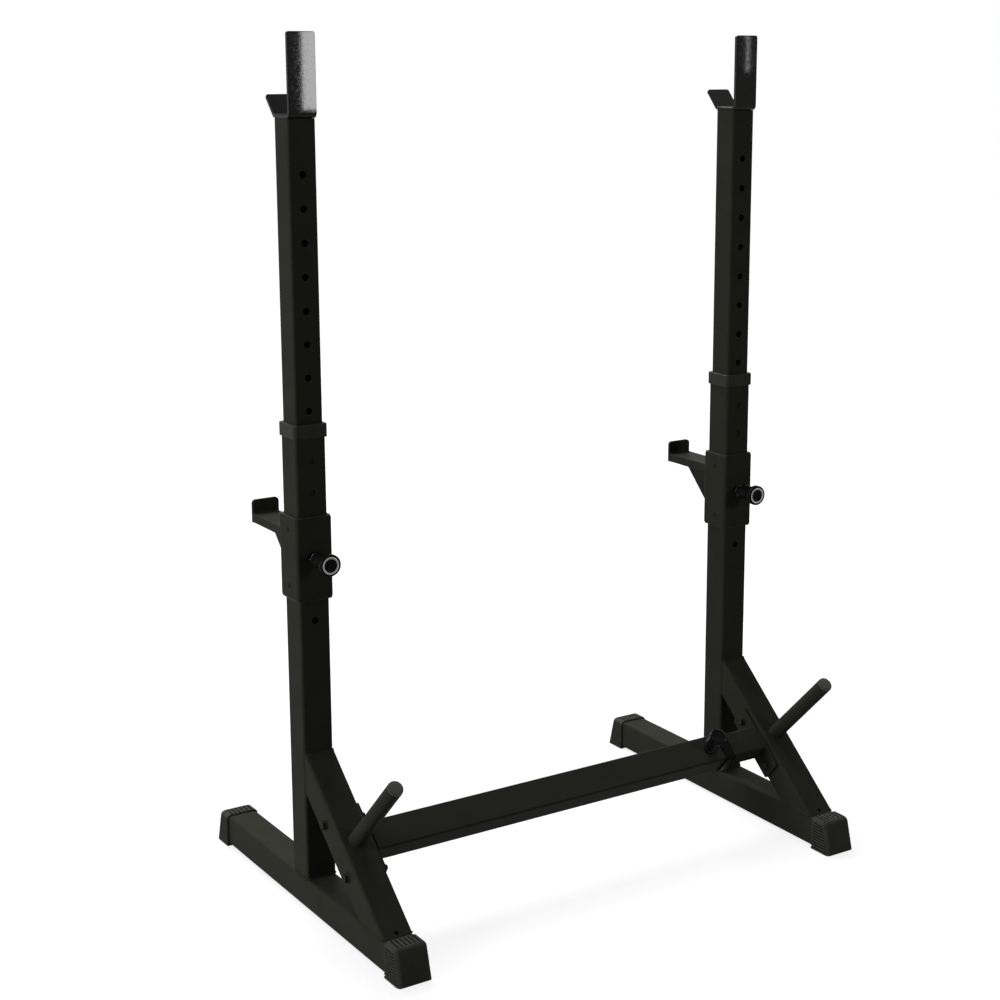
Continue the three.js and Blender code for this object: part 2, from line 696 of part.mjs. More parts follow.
/** The sliding carriage with its liner, spotter arm, screws and pull pin. */
function carriage(name) {
  const group = new THREE.Group();
  group.position.z = pinHeight;

  const body = new THREE.Group();
  body.position.z = -carriageDrop;
  const sleeve = boxTube(carriageTube, carriageTube, carriageWall, carriageCorner, carriageHeight);
  sleeve.translate(0, 0, -carriageHeight / 2);
  const pinBore = rodAlongY(pinHole / 2, -halfCarriage - overrun, 0).translate(0, 0, carriageDrop);
  body.add(part(`${name}_carriage_sleeve`, cut(sleeve, [pinBore, ...screwHoles()]), 'frame'));
  body.add(part(`${name}_carriage_liner`, carriageLiner(), 'plastic'));
  for (const [place, end] of [['upper', 1], ['lower', -1]]) {
    const screw = part(`${name}_${place}_liner_screw`, linerScrew(), 'steel');
    screw.position.z = end * screwOffset;
    body.add(screw);
  }

  const armBack = halfCarriage + seatGap;
  const arm = part(`${name}_spotter_arm`,
    boxTube(armWidth, armHeight, armWall, armCorner, armReach - armBack - seatGap), 'frame');
  arm.rotation.x = -Math.PI / 2;
  arm.position.set(0, armBack, armAbovePin + armHeight / 2);

  const stop = part(`${name}_spotter_stop`, spotterStop(), 'frame');
  stop.rotation.x = Math.PI / 2;
  stop.position.set(0, armReach + stopThickness, armAbovePin);

  const gusset = part(`${name}_spotter_gusset`, spotterGusset(), 'frame');
  gusset.rotation.set(Math.PI / 2, 0, Math.PI / 2, 'ZXY');
  gusset.position.set(-gussetThickness / 2, armBack, armAbovePin - seatGap);

  const pin = new THREE.Group();
  pin.position.y = -halfCarriage;
  pin.add(...pullPin(name, {
    tip: halfCarriage - halfTube - 2 * seatGap,
    stroke: carriagePinStroke,
    knobEnd: carriageKnobEnd,
    knobRim: carriageKnobRim,
  }));
  group.add(body, arm, stop, gusset, pin);
  return group;
}

/** The crossbar: outer tube on the left stand, inner tube on the right one, collar and pull pin. */
function crossbar() {
  const group = rakedGroup();
  const line = [halfTube, -barAlong];
  const pinBore = (x) => rodAlongY(pinHole / 2, -overrun, halfTube).translate(x, 0, -barAlong);

  const outer = boxTube(barHeight, barDepth, barWall, barCorner, barOuterEnd + barEnd);
  outer.rotateY(Math.PI / 2).translate(-barEnd, ...line);
  group.add(part('crossbar_outer_tube', cut(outer, [pinBore(barPinPlace)]), 'frame'));

  const inner = boxTube(barInnerHeight, barInnerDepth, barWall, barCorner, barInnerLength);
  inner.rotateY(Math.PI / 2).translate(barEnd - barInnerLength, ...line);
  const innerHoles = [];
  for (let hole = 0; hole < barPinHoles; hole += 1) {
    innerHoles.push(pinBore(barPinPlace - hole * holePitch));
  }
  group.add(part('crossbar_inner_tube', cut(inner, innerHoles), 'frame'));

  const endCollar = part('crossbar_collar', collar(
    { width: barHeight, height: barDepth, corner: barCorner },
    { width: barInnerHeight, height: barInnerDepth, corner: barCorner }), 'plastic');
  endCollar.rotation.y = Math.PI / 2;
  endCollar.position.set(barOuterEnd + seatGap, ...line);
  group.add(endCollar);

  const pin = new THREE.Group();
  pin.position.set(barPinPlace, halfTube - barDepth / 2, -barAlong);
  pin.add(...pullPin('crossbar', {
    tip: barWall,
    stroke: barPinStroke,
    knobEnd: barKnobEnd,
    knobRim: barKnobRim,
  }));
  group.add(pin);
  return group;
}

const squatStand = new THREE.Group();
squatStand.position.set((boltHeadProud - boltTailProud) / 2, uprightSetback, 0);
for (const [name, hand] of [['left', -1], ['right', 1]]) {
  const stand = new THREE.Group();
  stand.position.x = (hand * standSpacing) / 2;
  stand.add(standFrame(name, -hand), upperPost(name), carriage(name));
  squatStand.add(stand);
}
squatStand.add(crossbar());

export default squatStand;
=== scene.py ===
"""Squat stand: the finished surfaces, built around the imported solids.

Row frame: metres, +Z up, +X from the left stand to the right one, -Y the front with the pegs and pull
knobs. Sizes below are in millimetres and become metres where a piece is placed.
"""

import json
import logging
import math
from collections.abc import Callable
from dataclasses import dataclass, field
from enum import Enum

import bmesh
import bpy
from mathutils import Matrix, Vector

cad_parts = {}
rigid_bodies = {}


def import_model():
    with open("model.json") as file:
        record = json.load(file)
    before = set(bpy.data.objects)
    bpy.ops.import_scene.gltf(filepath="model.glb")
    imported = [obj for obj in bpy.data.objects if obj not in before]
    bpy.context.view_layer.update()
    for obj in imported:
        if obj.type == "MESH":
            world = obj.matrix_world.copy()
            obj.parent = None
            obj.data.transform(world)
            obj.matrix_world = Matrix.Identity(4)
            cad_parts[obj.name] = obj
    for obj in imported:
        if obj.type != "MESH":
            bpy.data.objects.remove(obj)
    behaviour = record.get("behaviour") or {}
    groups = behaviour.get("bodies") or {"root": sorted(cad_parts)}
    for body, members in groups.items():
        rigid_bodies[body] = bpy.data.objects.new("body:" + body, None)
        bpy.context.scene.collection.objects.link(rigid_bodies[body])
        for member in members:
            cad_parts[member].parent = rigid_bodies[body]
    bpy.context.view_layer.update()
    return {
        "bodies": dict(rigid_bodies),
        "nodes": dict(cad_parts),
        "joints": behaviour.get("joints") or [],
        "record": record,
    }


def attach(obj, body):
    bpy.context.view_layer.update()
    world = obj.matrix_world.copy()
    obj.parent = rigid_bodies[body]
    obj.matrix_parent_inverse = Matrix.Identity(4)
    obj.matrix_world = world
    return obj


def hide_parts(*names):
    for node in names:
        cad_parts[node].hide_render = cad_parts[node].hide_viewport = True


log = logging.getLogger("squat_stand")

MM = 0.001
GAP = 0.3                    # between two pieces that touch
CENTRE_SHIFT = -2.1          # the row's origin against the middle of the crossbar
UPRIGHT_Y = 3.0              # the uprights stand this far behind the middle of the feet
PIN_HEIGHT = 572.5
HOLE_PITCH = 50.0
HOLE_RADIUS = 5.4
RAKE = math.radians(40.3)    # the brace above the horizontal
RAKE_JOINT = 264.0           # where the brace's front face meets the upright
BAR_ALONG = 158.0            # the crossbar, down the brace from that joint


class Side(Enum):
    """The two stands, with the X of the upright's axis."""

    LEFT = -410.0 + CENTRE_SHIFT
    RIGHT = 410.0 + CENTRE_SHIFT

    @property
    def label(self) -> str:
        """The prefix of the stand's node names."""
        return self.name.lower()


class Pick(Enum):
    """What a selection test looks at."""

    FACES = "faces"
    EDGES = "edges"
    VERTS = "verts"


# ---------------------------------------------------------------- modelling tools


def clear() -> None:
    """Leaves edit mode and deselects every object."""
    if bpy.context.object is not None and bpy.context.object.mode != "OBJECT":
        bpy.ops.object.mode_set(mode="OBJECT")
    bpy.ops.object.select_all(action="DESELECT")


def select_only(piece: bpy.types.Object) -> None:
    """Makes one object the only one selected, and the active one."""
    clear()
    piece.select_set(True)
    bpy.context.view_layer.objects.active = piece


def added(name: str) -> bpy.types.Object:
    """Names the primitive that was just added, with its place and size applied to its mesh."""
    piece = bpy.context.object
    piece.name = name
    piece.data.name = name
    bpy.ops.object.transform_apply(location=True, rotation=True, scale=True)
    return piece


def add_block(name: str, low: tuple, high: tuple) -> bpy.types.Object:
    """Adds a box.

    Args:
        name: the piece's name.
        low: its lowest corner, in mm.
        high: its highest corner, in mm.

    Returns:
        The box, in metres.
    """
    clear()
    lowest, highest = Vector(low) * MM, Vector(high) * MM
    bpy.ops.mesh.primitive_cube_add(size=1, location=(lowest + highest) / 2, scale=highest - lowest)
    return added(name)


def add_rod(name: str, radius: float, low: float, high: float, sides: int = 48) -> bpy.types.Object:
    """Adds a cylinder along Z.

    Args:
        name: the piece's name.
        radius: in mm, to the corners.
        low: where it starts, in mm.
        high: where it ends, in mm.
        sides: number of sides.

    Returns:
        The cylinder, in metres.
    """
    clear()
    bpy.ops.mesh.primitive_cylinder_add(
        vertices=sides, radius=radius * MM, depth=(high - low) * MM, location=(0, 0, (low + high) / 2 * MM)
    )
    return added(name)


def pick(piece: bpy.types.Object, kind: Pick, test: Callable[[Vector, Vector], bool]) -> None:
    """Enters edit mode and selects what a test accepts.

    Args:
        piece: the object to edit.
        kind: faces, edges or vertices.
        test: takes a middle in mm and a direction: a face's or vertex's normal, or an edge's way.
    """
    select_only(piece)
    bpy.ops.object.mode_set(mode="EDIT")
    bpy.ops.mesh.select_mode(type={Pick.FACES: "FACE", Pick.EDGES: "EDGE", Pick.VERTS: "VERT"}[kind])
    bpy.ops.mesh.select_all(action="DESELECT")
    mesh = bmesh.from_edit_mesh(piece.data)
    for item in getattr(mesh, kind.value):
        if kind is Pick.FACES:
            middle, way = item.calc_center_median(), item.normal
        elif kind is Pick.EDGES:
            ends = [vert.co for vert in item.verts]
            middle, way = (ends[0] + ends[1]) / 2, (ends[1] - ends[0]).normalized()
        else:
            middle, way = item.co, item.normal
        if test(middle / MM, way):
            item.select_set(True)
    mesh.select_flush_mode()
    bmesh.update_edit_mesh(piece.data)


def bevel_picked(width: float, segments: int) -> None:
    """Rounds the picked edges by a radius in mm."""
    bpy.ops.mesh.bevel(offset=width * MM, offset_type="OFFSET", segments=segments, affect="EDGES")


def round_top(piece: bpy.types.Object, width: float, segments: int) -> None:
    """Rounds the outline of the faces that look up, by a radius in mm."""
    pick(piece, Pick.FACES, lambda middle, way: way.z > 0.9)
    bpy.ops.mesh.region_to_loop()
    bevel_picked(width, segments)
    clear()


def face_outwards(piece: bpy.types.Object) -> None:
    """Turns a piece's faces the same way, outwards where it is closed."""
    select_only(piece)
    bpy.ops.object.mode_set(mode="EDIT")
    bpy.ops.mesh.select_all(action="SELECT")
    bpy.ops.mesh.normals_make_consistent(inside=False)
    clear()


def apply_modifier(piece: bpy.types.Object, kind: str, **settings: object) -> None:
    """Adds a modifier with its settings and applies it."""
    select_only(piece)
    modifier = piece.modifiers.new(kind.lower(), kind)
    for key, value in settings.items():
        setattr(modifier, key, value)
    bpy.ops.object.modifier_apply(modifier=modifier.name)


def carve(piece: bpy.types.Object, cutters: list) -> None:
    """Takes each cutter off a piece and removes the cutters."""
    for cutter in cutters:
        apply_modifier(piece, "BOOLEAN", operation="DIFFERENCE", solver="EXACT", object=cutter)
        bpy.data.objects.remove(cutter)


def smooth(piece: bpy.types.Object, degrees: float) -> None:
    """Shades a piece smooth, apart from the edges that turn by more than an angle."""
    select_only(piece)
    bpy.ops.object.shade_smooth_by_angle(angle=math.radians(degrees))


def soften(piece: bpy.types.Object, width: float, segments: int = 2) -> None:
    """Breaks the sharp edges by a width in mm and shades the rest smooth, with the large faces flat."""
    smooth(piece, 35)
    apply_modifier(
        piece,
        "BEVEL",
        width=width * MM,
        segments=segments,
        limit_method="ANGLE",
        angle_limit=math.radians(40),
        use_clamp_overlap=True,
        harden_normals=True,
    )
    apply_modifier(piece, "WEIGHTED_NORMAL", mode="FACE_AREA", weight=90, keep_sharp=True)


def place(piece: bpy.types.Object, matrix: Matrix) -> bpy.types.Object:
    """Moves a piece's mesh, and leaves its object at the origin."""
    piece.data.transform(matrix)
    piece.data.update()
    return piece


def merge(pieces: list, name: str) -> bpy.types.Object:
    """Joins objects into the first one."""
    clear()
    for piece in pieces:
        piece.select_set(True)
    bpy.context.view_layer.objects.active = pieces[0]
    bpy.ops.object.join()
    pieces[0].name = name
    pieces[0].data.name = name
    return pieces[0]


def turn_profile(name: str, outline: list, sides: int = 64) -> bpy.types.Object:
    """Makes a round piece along Z by drawing a disc out from ring to ring.

    Args:
        name: the piece's name.
        outline: rings as (radius, z) in mm, from one end cap to the other.
        sides: number of sides.

    Returns:
        The closed piece, in metres.
    """
    clear()
    radius, height = outline[0]
    bpy.ops.mesh.primitive_circle_add(
        vertices=sides, radius=radius * MM, fill_type="NGON", location=(0, 0, height * MM)
    )
    piece = added(name)
    bpy.ops.object.mode_set(mode="EDIT")
    bpy.ops.mesh.select_mode(type="FACE")
    bpy.ops.mesh.select_all(action="SELECT")
    for next_radius, next_height in outline[1:]:
        bpy.ops.mesh.extrude_region_move(
            TRANSFORM_OT_translate={"value": (0, 0, (next_height - height) * MM), "orient_type": "GLOBAL"}
        )
        share = next_radius / radius
        bpy.ops.transform.resize(value=(share, share, 1), center_override=(0, 0, next_height * MM))
        radius, height = next_radius, next_height
    face_outwards(piece)
    return piece


def upright_axis(side: Side) -> Matrix:
    """The frame on the floor under an upright."""
    return Matrix.Translation((side.value * MM, UPRIGHT_Y * MM, 0))


def raked(x: float) -> Matrix:
    """The frame whose +Z runs up the braces and whose -Y looks out of their front faces."""
    joint = Matrix.Translation((x * MM, (UPRIGHT_Y - 25) * MM, RAKE_JOINT * MM))
    return joint @ Matrix.Rotation(RAKE - math.pi / 2, 4, "X")


def shift(x: float, y: float, z: float) -> Matrix:
    """A move by millimetres."""
    return Matrix.Translation(Vector((x, y, z)) * MM)


def turn(degrees: float, axis: str) -> Matrix:
    """A turn about a frame axis."""
    return Matrix.Rotation(math.radians(degrees), 4, axis)


# ---------------------------------------------------------------- finishes


def linear(code: str) -> tuple:
    """Turns an sRGB hex colour into linear RGBA."""
    values = [int(code[i : i + 2], 16) / 255 for i in (0, 2, 4)]
    return (*[v / 12.92 if v <= 0.04045 else ((v + 0.055) / 1.055) ** 2.4 for v in values], 1.0)


def add_node(
    tree: bpy.types.NodeTree, kind: str, inputs: dict | None = None, **settings: object
) -> bpy.types.Node:
    """Adds a shader node.

    Args:
        tree: the node tree.
        kind: the node's type.
        inputs: values or sockets to link, by input name or number.
        settings: the node's own properties.

    Returns:
        The node.
    """
    node = tree.nodes.new(kind)
    for key, value in settings.items():
        setattr(node, key, value)
    for key, value in (inputs or {}).items():
        if isinstance(value, bpy.types.NodeSocket):
            tree.links.new(value, node.inputs[key])
        else:
            node.inputs[key].default_value = value
    return node


def per_mm(size: float) -> float:
    """The texture scale at which a pattern's cells are about a size in mm."""
    return 1.0 / (size * MM)


@dataclass(frozen=True)
class Finish:
    """A surface with a mottled colour, a varying gloss and a fine grain.

    Attributes:
        name: the material's name.
        dark: the darker sRGB tone.
        light: the lighter sRGB tone.
        mottle: size of the colour patches in mm.
        gloss_low: least roughness.
        gloss_high: most roughness.
        gloss_size: size of the gloss patches in mm.
        grain: size of the surface grain in mm.
        grain_height: height of the grain in mm.
        grain_strength: strength of the bump.
        metallic: 1 for bare metal.
        specular: specular level of the shader, where it isn't metal.
    """

    name: str
    dark: str
    light: str
    mottle: float
    gloss_low: float
    gloss_high: float
    gloss_size: float
    grain: float
    grain_height: float
    grain_strength: float
    metallic: float = 0.0
    specular: float = 0.5

    def material(self) -> bpy.types.Material:
        """Builds the material once and returns it afterwards."""
        made = bpy.data.materials.get(self.name)
        if made is not None:
            return made
        made = bpy.data.materials.new(self.name)
        made.use_nodes = True
        tree = made.node_tree
        tree.nodes.clear()
        where = add_node(tree, "ShaderNodeTexCoord").outputs["Object"]
        patches = add_node(
            tree, "ShaderNodeTexNoise", {"Vector": where, "Scale": per_mm(self.mottle), "Detail": 4.0}
        )
        colour = add_node(
            tree,
            "ShaderNodeMix",
            {0: patches.outputs[0], 6: linear(self.dark), 7: linear(self.light)},
            data_type="RGBA",
        )
        gloss = add_node(
            tree, "ShaderNodeTexNoise", {"Vector": where, "Scale": per_mm(self.gloss_size), "Detail": 3.0}
        )
        rough = add_node(
            tree,
            "ShaderNodeMapRange",
            {0: gloss.outputs[0], 1: 0.3, 2: 0.7, 3: self.gloss_low, 4: self.gloss_high},
        )
        grain = add_node(
            tree, "ShaderNodeTexNoise", {"Vector": where, "Scale": per_mm(self.grain), "Detail": 2.0}
        )
        bump = add_node(
            tree,
            "ShaderNodeBump",
            {
                "Height": grain.outputs[0],
                "Strength": self.grain_strength,
                "Distance": self.grain_height * MM,
            },
        )
        shader = add_node(
            tree,
            "ShaderNodeBsdfPrincipled",
            {
                "Base Color": colour.outputs[2],
                "Metallic": self.metallic,
                "Roughness": rough.outputs[0],
                "Normal": bump.outputs[0],
                "Specular IOR Level": self.specular,
            },
        )
        add_node(tree, "ShaderNodeOutputMaterial", {"Surface": shader.outputs[0]})
        return made


# Black polyester powder coat on steel tube: satin, with a fine orange peel. The real peel is about
# 0.4 mm across and is drawn at 2 mm, because a finer one doesn't show.
POWDER_COAT = Finish(
    "black_powder_coat", "1d1d19", "242420", 40.0, 0.30, 0.40, 9.0, 2.0, 0.04, 0.35, specular=0.003
)
# The same black in a harder gloss on the bent hook plates, with the slow waves of rolled plate.
GLOSS_COAT = Finish(
    "black_gloss_coat", "0c0c0b", "161614", 14.0, 0.02, 0.045, 5.0, 3.0, 0.006, 0.4, specular=0.08
)
# Moulded rubber, dull and dark grey, with a fine matt grain.
CAP_RUBBER = Finish(
    "moulded_rubber", "252521", "2e2e2a", 18.0, 0.55, 0.72, 6.0, 1.2, 0.05, 0.5, specular=0.015
)
# Painted shade for the floors of the caps' grooves: the same rubber drawn blacker, standing in for the
# shade in the recesses.
GROOVE_SHADE = Finish(
    "groove_rubber", "0b0b0a", "121211", 18.0, 0.6, 0.75, 6.0, 1.2, 0.05, 0.5, specular=0.01
)
# Injection-moulded nylon of the uprights' collars and the liners: black, with a spark-eroded mould grain.
NYLON = Finish("moulded_nylon", "222220", "2a2a27", 20.0, 0.28, 0.38, 5.0, 1.5, 0.05, 0.4, specular=0.015)
# The knobs and the crossbar's collar: ABS, a little glossier than the nylon.
KNOB_ABS = Finish("black_abs", "080808", "0e0e0e", 16.0, 0.22, 0.32, 4.0, 1.5, 0.03, 0.3, specular=0.018)
# Peg plugs: dark grey polyethylene with a waxy sheen.
PLUG_PE = Finish(
    "grey_polyethylene", "32322f", "3c3c38", 12.0, 0.40, 0.52, 4.0, 1.5, 0.03, 0.3, specular=0.12
)
# Bright zinc plate on turned steel, with the faint mottle of the plating.
ZINC_STEEL = Finish(
    "zinc_plated_steel", "a8a8a4", "cfcfca", 3.0, 0.18, 0.34, 2.0, 0.8, 0.02, 0.3, metallic=1.0
)
# Black-passivated zinc on the pull pins' housings: dark, with the sheen of turned metal.
BLACK_ZINC = Finish(
    "black_zinc_steel", "353537", "4e4e51", 5.0, 0.16, 0.28, 3.0, 0.8, 0.02, 0.3, metallic=1.0
)
# Printed ring on the knob's face: white ink, slightly worn.
WHITE_INK = Finish("white_ink", "d2d2cd", "ecece8", 3.0, 0.45, 0.6, 2.0, 1.0, 0.01, 0.2, specular=0.3)


def hand_over(
    piece: bpy.types.Object, body: str, finish: Finish, nodes: tuple = ()
) -> bpy.types.Object:
    """Dresses a finished piece and sets it on its body.

    Args:
        piece: the finished piece.
        body: the body it rides on.
        finish: its finish.
        nodes: the solids it stands for.

    Returns:
        The piece.
    """
    clear()
    piece.data.materials.clear()
    piece.data.materials.append(finish.material())
    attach(piece, body)
    if nodes:
        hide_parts(*nodes)
    log.info("%s on %s: %d faces", piece.name, body, len(piece.data.polygons))
    return piece


# ---------------------------------------------------------------- parts


@dataclass
class SquareTube:
    """A welded square or flat tube along Z, open at both ends.

    Attributes:
        width: outside size along X in mm.
        depth: outside size along Y in mm.
        length: in mm.
        wall: wall thickness in mm.
        corner: outside corner radius in mm.
        edge: how far the cut edges are broken in mm.
    """

    width: float
    depth: float
    length: float
    wall: float = 2.0
    corner: float = 4.0
    edge: float = 0.35

    def build(self, name: str, cutters: list | None = None) -> bpy.types.Object:
        """Shapes the tube from z = 0.

        Args:
            name: the piece's name.
            cutters: objects in the tube's own frame, taken off it.

        Returns:
            The tube.
        """
        tube = add_block(
            name, (-self.width / 2, -self.depth / 2, 0), (self.width / 2, self.depth / 2, self.length)
        )
        pick(tube, Pick.EDGES, lambda middle, way: abs(way.z) > 0.5)
        bevel_picked(self.corner, 6)
        pick(tube, Pick.FACES, lambda middle, way: abs(way.z) > 0.9)
        bpy.ops.mesh.delete(type="ONLY_FACE")
        clear()
        apply_modifier(tube, "SOLIDIFY", thickness=self.wall * MM, offset=-1.0, use_even_offset=True)
        carve(tube, cutters or [])
        soften(tube, self.edge)
        return tube


def front_hole(height: float, radius: float = HOLE_RADIUS) -> bpy.types.Object:
    """A cutter for a hole in a tube's front wall, at a height in mm."""
    cutter = add_rod("hole", radius, 0, 60)
    return place(cutter, shift(0, 0, height) @ turn(90, "X"))


@dataclass
class WeldBead:
    """A weld bead laid along a line of points, with the ripples of its passes.

    Attributes:
        radius: half the bead's width in mm.
        ripple: distance between ripples in mm.
    """

    radius: float = 1.9
    ripple: float = 2.6

    def build(self, name: str, corners: list, closed: bool) -> bpy.types.Object:
        """Lays the bead.

        Args:
            name: the piece's name.
            corners: the line's corners in mm, in the frame of what it joins.
            closed: whether it runs round to its start.

        Returns:
            The bead as a mesh.
        """
        stops = [Vector(corner) for corner in corners]
        legs = list(zip(stops, stops[1:] + stops[:1] if closed else stops[1:]))
        points = []
        for start, end in legs:
            steps = max(2, round((end - start).length / (self.ripple / 4)))
            points += [start.lerp(end, step / steps) for step in range(steps)]
        if not closed:
            points.append(stops[-1])
        clear()
        curve = bpy.data.curves.new(name, "CURVE")
        curve.dimensions = "3D"
        curve.bevel_depth = self.radius * MM
        curve.bevel_resolution = 2
        curve.use_fill_caps = not closed
        line = curve.splines.new("POLY")
        line.points.add(len(points) - 1)
        line.use_cyclic_u = closed
        for index, (spot, point) in enumerate(zip(line.points, points)):
            spot.co = (*(point * MM), 1.0)
            spot.radius = 0.88 + 0.12 * math.cos(index * math.pi / 2) + 0.05 * math.sin(index * 0.37)
        piece = bpy.data.objects.new(name, curve)
        bpy.context.scene.collection.objects.link(piece)
        select_only(piece)
        bpy.ops.object.convert(target="MESH")
        piece = bpy.context.object
        smooth(piece, 50)
        clear()
        return piece


@dataclass
class FootCap:
    """A ribbed rubber cap on the end of a base tube that points along +Y.

    Attributes:
        reach: from the middle of the base to the cap's end at the floor, in mm.
        length: in mm.
        width: in mm.
        height: in mm.
        lean: how far the end face leans in at the top, in mm.
        rounding: radius of the end face's edges in mm.
        rib_pitch: of the ribs on the sides, in mm.
        top_pitch: of the ribs on the top, in mm.
        groove: groove depth in mm.
        top_groove: depth of the grooves on the top in mm, so shallow that a low view meets their floors.
    """

    reach: float = 322.6
    length: float = 44.6
    width: float = 56.6
    height: float = 55.6
    lean: float = 14.0
    rounding: float = 8.5
    rib_pitch: float = 4.8
    top_pitch: float = 7.2
    groove: float = 2.2
    top_groove: float = 1.1

    def build(self, name: str) -> bpy.types.Object:
        """Shapes the cap around the end of the base, in the frame on the floor."""
        half = self.width / 2
        cap = add_block(name, (-half, self.reach - self.length, 0), (half, self.reach, self.height))
        pick(cap, Pick.VERTS, lambda middle, way: middle.y > self.reach - 1 and middle.z > self.height - 1)
        bpy.ops.transform.translate(value=(0, -self.lean * MM, 0))
        flare = (half + 0.7) / half
        pick(cap, Pick.VERTS, lambda middle, way: middle.z < 1)
        bpy.ops.transform.resize(value=(flare, 1, 1), center_override=(0, self.reach * MM, 0))
        pick(cap, Pick.EDGES, lambda middle, way: middle.z > 1 and (
            middle.y > self.reach - self.lean - 1 or abs(way.y) > 0.9))
        bevel_picked(self.rounding, 5)
        pick(cap, Pick.EDGES, lambda middle, way: middle.z < 0.5 and middle.y > self.reach - 1)
        bevel_picked(1.6, 2)
        carve(cap, [self._grooves(), self._pocket()])
        soften(cap, 0.25, 1)
        return cap

    def shade_grooves(self, cap: bpy.types.Object) -> None:
        """Paints shade on the floors of the grooves with a darker rubber, on a cap in the frame on the
        floor.
        """
        # the second material is painted shade, put on the groove floors
        cap.data.materials.append(GROOVE_SHADE.material())
        floor_side, floor_top = self.width / 2 - self.groove, self.height - self.top_groove
        for face in cap.data.polygons:
            middle, way = face.center / MM, face.normal
            on_side = abs(way.x) > 0.9 and abs(abs(middle.x) - floor_side) < 0.8
            on_top = way.z > 0.999 and abs(middle.z - floor_top) < 0.1
            if (on_side or on_top) and abs(middle.y) < self.reach - 6:
                face.material_index = 1

    def _pocket(self) -> bpy.types.Object:
        """The room for the base tube's end."""
        return add_block("pocket", (-25.3, 0, 2.5), (25.3, self.reach - 19.0, 53.1))

    def _grooves(self) -> bpy.types.Object:
        """The grooves between the lengthwise ribs, as one cutter."""
        bars = []
        start, end = self.reach - self.length - 5, self.reach - 6.0
        half, wide = self.width / 2, self.rib_pitch / 2
        rows = int((self.height - 10) / self.rib_pitch) + 1
        for row in range(rows):
            height = 3.5 + row * self.rib_pitch
            stop = end - self.lean * height / self.height
            for hand in (-1, 1):
                face = half + 0.7 * (1 - height / self.height)
                near, far = sorted((hand * (face - self.groove), hand * (face + 4)))
                bars.append(add_block("groove", (near, start, height), (far, stop, height + wide)))
        columns = int((self.width - 2 * self.rounding) / self.top_pitch) + 1
        for column in range(columns):
            x = (column - (columns - 1) / 2) * self.top_pitch
            bars.append(add_block(
                "groove",
                (x - self.top_pitch / 4, start, self.height - self.top_groove),
                (x + self.top_pitch / 4, end - self.lean, self.height + 4),
            ))
        return merge(bars, "grooves")


@dataclass
class Collar:
    """A plastic collar at a telescoping joint, along Z, with the outer tube's end at z = 0.

    Attributes:
        outer: the outer tube's two sizes in mm.
        inner: the inner tube's two sizes in mm.
        wall: in mm.
        skirt: height over the outer tube in mm.
        lip: height above the outer tube in mm.
    """

    outer: tuple
    inner: tuple
    wall: float = 3.0
    skirt: float = 18.0
    lip: float = 3.0

    def build(self, name: str) -> bpy.types.Object:
        """Shapes the collar."""
        half = [size / 2 + self.wall for size in self.outer]
        ring = add_block(name, (-half[0], -half[1], GAP - self.skirt), (half[0], half[1], self.lip))
        pick(ring, Pick.EDGES, lambda middle, way: abs(way.z) > 0.5)
        bevel_picked(6.0, 6)
        round_top(ring, 2.0, 4)
        carve(ring, [
            self._plug("pocket", self.outer, -self.skirt - 10, GAP, 4.0),
            self._plug("guide", self.inner, -self.skirt - 10, self.lip + 10, 3.5),
        ])
        soften(ring, 0.35, 2)
        return ring

    @staticmethod
    def _plug(name: str, size: tuple, low: float, high: float, corner: float) -> bpy.types.Object:
        """A cutter with a tube's outline and the gap round it."""
        x, y = size[0] / 2 + GAP, size[1] / 2 + GAP
        plug = add_block(name, (-x, -y, low), (x, y, high))
        pick(plug, Pick.EDGES, lambda middle, way: abs(way.z) > 0.5)
        bevel_picked(corner, 5)
        clear()
        return plug


